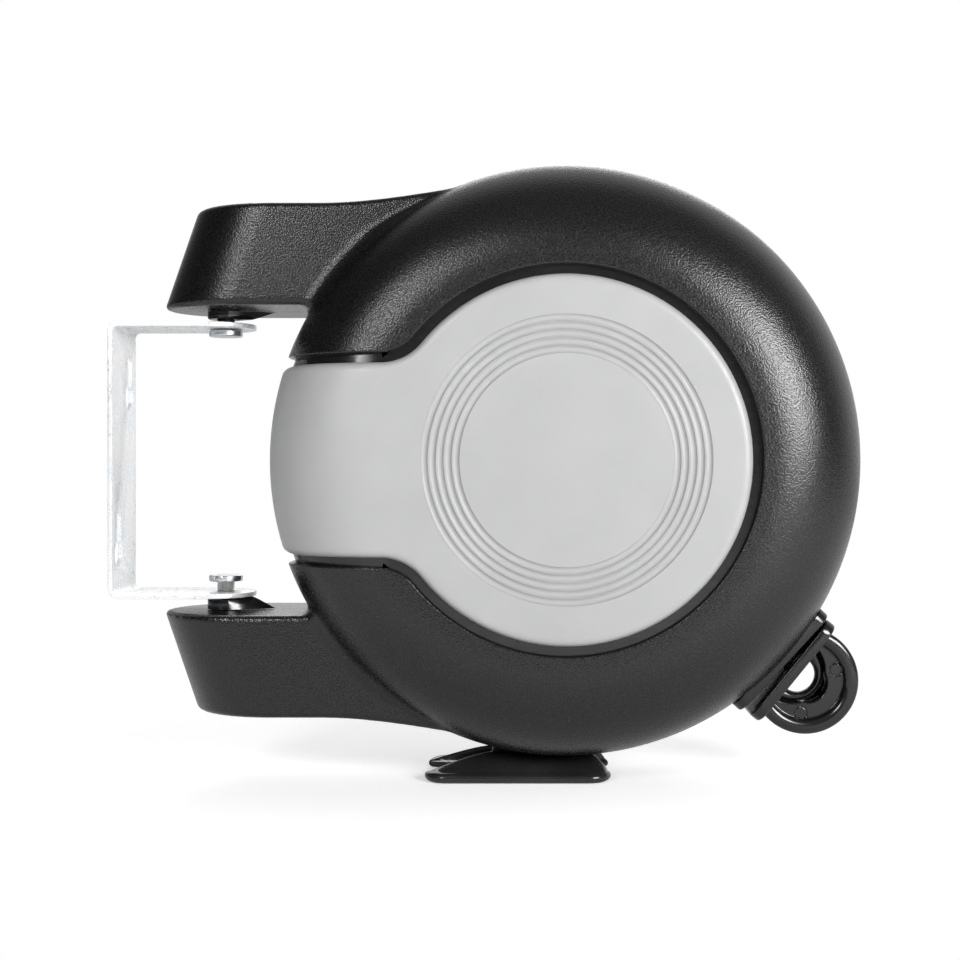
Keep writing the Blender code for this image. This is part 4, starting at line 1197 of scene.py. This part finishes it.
def handle_field(u, y, t):
    """Domed rim round a web, which holds two bosses, a crescent pocket and a round grip."""
    deep = np.abs(y)
    r = np.hypot(u - HANDLE_CENTRE, t)
    across = (r - HANDLE_RADIUS + HANDLE_RIM / 2) / (HANDLE_RIM / 2)
    dome = np.maximum(deep - HANDLE_HALF_WIDTH + 0.0018, 0) / 0.0018
    rim = (np.hypot(across, dome) - 1) * 0.0022
    made = rounded_or(rim, np.maximum(r - HANDLE_RADIUS + 0.002, deep - HANDLE_WEB_Y), 0.0005)
    for angle in (-BOSS_ANGLE, BOSS_ANGLE):
        bu, bt = arc((HANDLE_CENTRE, 0.0), BOSS_CIRCLE, angle, angle, 1)[0]
        away = np.hypot(u - bu, t - bt)
        ring = np.maximum(np.abs(away - BOSS_RADIUS) - 0.00022, HANDLE_WEB_Y - 0.0004 - deep)
        made = rounded_and(made, -ring, 0.0002)
    grip_edge = np.hypot(u - GRIP_CENTRE, t) - GRIP_RADIUS
    finger = np.hypot(u - FINGER_CENTRE, t) - FINGER_RADIUS
    middle = (finger + grip_edge) / 2
    width = np.maximum((finger - grip_edge) / 2, 0.0008)
    made = rounded_and(made, -np.maximum(grip_edge, 0.0015 - deep), 0.0005)
    slot_edge = np.hypot(u - SLOT_CENTRE, t) - SLOT_RADIUS
    made = rounded_and(made, -np.maximum(slot_edge, 0.0010 - deep), 0.0005)
    made = np.maximum(made, -np.maximum(grip_edge, middle))
    bar = (np.hypot(middle / width, deep / GRIP_DEPTH) - 1) * width * 0.8
    made = np.maximum(rounded_or(made, bar, 0.0004), -finger)
    return np.maximum(made, y - 0.0013)


def build_handle_half(name, side, look):
    low = (0.1320, -HANDLE_HALF_WIDTH - 0.0015, -HANDLE_RADIUS - 0.0015)
    high = (HANDLE_CENTRE + HANDLE_RADIUS + 0.0015, 0.0025, HANDLE_RADIUS + 0.0015)
    half = skin(name + "_visual", handle_field, low, high, 0.00042, look)
    mirror_rear(half, side)
    frame_at = handle_frame()
    half.data.transform(frame_at)
    past = past_joint(name + "_past", side, (0.100, -0.040), (0.190, 0.040), 0.040, frame_at)
    high = (STOP_FACE + STOP_THICKNESS + GAP, 0.040, 0.040)
    seat = box(name + "_seat", (0.100, -0.040, -0.040), high, frame_at)
    carve(half, [(past, "DIFFERENCE"), (seat, "DIFFERENCE")])
    smooth(half, 40.0)
    finish_piece(half, "handle", "gloss_black", name)


# --- Cleat and screws ---


def cleat_plan(x, y):
    """Outline of the cleat from above: waisted at the neck, with long round-ended rims."""
    away = (np.abs(y) - CLEAT_NECK_HALF_WIDTH) / (CLEAT_RIM_Y - CLEAT_NECK_HALF_WIDTH)
    spread = np.clip(away / 0.36, 0, 1)
    centre = CLEAT_X + (CLEAT_RIM_X - CLEAT_X) * spread
    half = CLEAT_NECK_HALF_LENGTH + (CLEAT_RIM_HALF_LENGTH - CLEAT_NECK_HALF_LENGTH) * spread
    waist = (np.abs(x - centre) - half) / 3.4
    ends = np.abs(x - CLEAT_RIM_X) - CLEAT_RIM_HALF_LENGTH
    rims = rounded_and(ends, np.abs(y) - CLEAT_RIM_Y, CLEAT_END_RADIUS)
    return rounded_and(rims, waist, 0.0020)


def cleat_field(x, y, z):
    """Two wings that fall from the neck to a rolled bead along their rims."""
    plan = cleat_plan(x, y)
    out = (np.abs(y) - CLEAT_NECK_HALF_WIDTH) / (CLEAT_RIM_Y - CLEAT_NECK_HALF_WIDTH)
    neck_left, neck_right = CLEAT_X - CLEAT_NECK_HALF_LENGTH, CLEAT_X + CLEAT_NECK_HALF_LENGTH
    left = (neck_left - x) / (neck_left - CLEAT_RIM_X + CLEAT_RIM_HALF_LENGTH)
    right = (x - neck_right) / (CLEAT_RIM_X + CLEAT_RIM_HALF_LENGTH - neck_right)
    along = np.clip(np.maximum(left, right), 0, 1)
    level = (1 - np.clip(out, 0, 1) ** 1.7) * (1 - along**1.5)
    top = CLEAT_FOOT_Z + CLEAT_WING_EDGE + (CLEAT_NECK_Z - CLEAT_FOOT_Z - CLEAT_WING_EDGE) * level
    bottom = CLEAT_FOOT_Z + 0.0012 + 0.0020 * level
    wing = rounded_and((z - top) * 0.85, bottom - z, 0.0008)
    wing = rounded_and(wing, plan + 0.0008, 0.0011)
    bead = np.hypot(plan + CLEAT_BEAD, z - CLEAT_FOOT_Z - CLEAT_BEAD) - CLEAT_BEAD
    wing = rounded_or(wing, bead, 0.0004)
    neck_end = np.abs(x - CLEAT_X) - CLEAT_NECK_HALF_LENGTH
    neck = rounded_and(np.abs(y) - CLEAT_NECK_HALF_WIDTH, neck_end, 0.0020)
    neck = np.maximum(np.maximum(neck, CLEAT_FOOT_Z + 0.003 - z), z + 0.119)
    return rounded_or(wing, neck, 0.0018)


def build_cleat(look):
    low = (CLEAT_RIM_X - 0.043, -CLEAT_RIM_Y - 0.0015, CLEAT_FOOT_Z - 0.0012)
    high = (CLEAT_RIM_X + 0.044, CLEAT_RIM_Y + 0.0015, -0.117)
    cleat = skin("line_cleat_visual", cleat_field, low, high, 0.0006, look)
    seat_radius = CASE_RADIUS + GAP
    seat = disc("cleat_seat", [(seat_radius, -0.030), (seat_radius, 0.030)], (REEL_X, 0.0), 360)
    length, width = TENON_HALF_LENGTH, TENON_HALF_WIDTH
    low = (CLEAT_X - length, -width, -0.134)
    tenon = box("cleat_tenon", low, (CLEAT_X + length, width, -0.1190))
    low = (CLEAT_X - length - 0.003, -width - 0.003, -0.1210)
    high = (CLEAT_X + length + 0.003, width + 0.003, -0.1184)
    barb = box("cleat_barb", low, high)
    carve(cleat, [(seat, "DIFFERENCE"), (tenon, "UNION"), (barb, "UNION")])
    smooth(cleat, 40.0)
    finish_piece(cleat, "case", "gloss_black", "line_cleat")


def build_screws(look):
    """Pan-head screws with a cross recess."""
    head = SCREW_HEAD_RADIUS
    base = SCREW_HEAD_Y
    profile = [(-0.0130, SCREW_RADIUS - 0.0008), (-0.0120, SCREW_RADIUS), (base, SCREW_RADIUS)]
    profile += [(base, head - 0.0002), (base + 0.0003, head), (base + 0.0014, head)]
    for rise, inset in ((0.0020, 0.0005), (0.0024, 0.0014), (0.0026, 0.0026)):
        profile.append((base + rise, head - inset))
    for i, (x, z) in enumerate(screw_points()):
        name = f"case_screw_{i + 1}"
        screw = turned(name + "_visual", (x, 0, z), (0, 1, 0), profile, 40, look)
        cuts = []
        for a, b in ((0.0019, 0.0004), (0.0004, 0.0019)):
            low, high = (x - a, base + 0.0010, z - b), (x + a, base + 0.0040, z + b)
            cuts.append((box(name + "_cross", low, high), "DIFFERENCE"))
        carve(screw, cuts, "EXACT")
        smooth(screw, 40.0)
        finish_piece(screw, "case", "zinc_steel", name)


def paint_inside(looks):
    """Finishes for the CAD pieces that stay as they are, inside the case."""
    finishes = {
        "bright": ("axle", "spring_arbor"),
        "drum": ("drum", "spring_cover"),
        "spring": ("mainspring",),
        "line": ("line_winding_front", "line_winding_rear"),
    }
    for finish, nodes in finishes.items():
        for node in nodes:
            for slot in NODES[node].material_slots:
                slot.material = looks[finish]


def build_object():
    looks = {
        "grained": grained_black(),
        "gloss": gloss_black("gloss_black", 0.0060),
        "painted_light_black": gloss_black("soft_black", 0.0130),
        # Painted light: a lighter copy of the gloss black, base 0.0130 against 0.0060, that stands
        # in for light the cleat's wings get too little of.
        "grey": satin_grey(),
        "zinc": zinc_steel("zinc_plate", 0.50, 0.86),
        "bright": zinc_steel("bright_steel", 1.0, 0.62),
        "drum": drum_grey(),
        "spring": spring_steel(),
        "line": line_black(),
    }
    paint_inside(looks)
    for name, side in (("front", -1), ("rear", 1)):
        build_shell(name + "_shell", side, looks["grained"], looks["gloss"])
        build_panel(name + "_panel", side, looks["grey"])
        build_handle_half(f"handle_{name}_half", side, looks["gloss"])
        build_line("line_" + name, side, looks["line"], "line_feed_" + name, "line_end_" + name)
    build_bracket(looks["zinc"])
    build_pin("upper_pivot_pin", 1, UPPER_HEAD_Z, looks["bright"])
    build_pin("lower_pivot_pin", -1, LOWER_HEAD_Z, looks["bright"])
    build_bush("upper_pivot_bush", 1, UPPER_BUSH_FACE_Z, looks["gloss"])
    build_bush("lower_pivot_bush", -1, LOWER_BUSH_FACE_Z, looks["gloss"])
    build_bezel(looks["gloss"])
    build_stop_plate(looks["gloss"])
    # The cleat takes the lighter copy of the gloss black, which is painted light.
    build_cleat(looks["painted_light_black"])
    build_screws(looks["bright"])


make_camera()
make_world()
make_floor()
light_studio()
build_object()
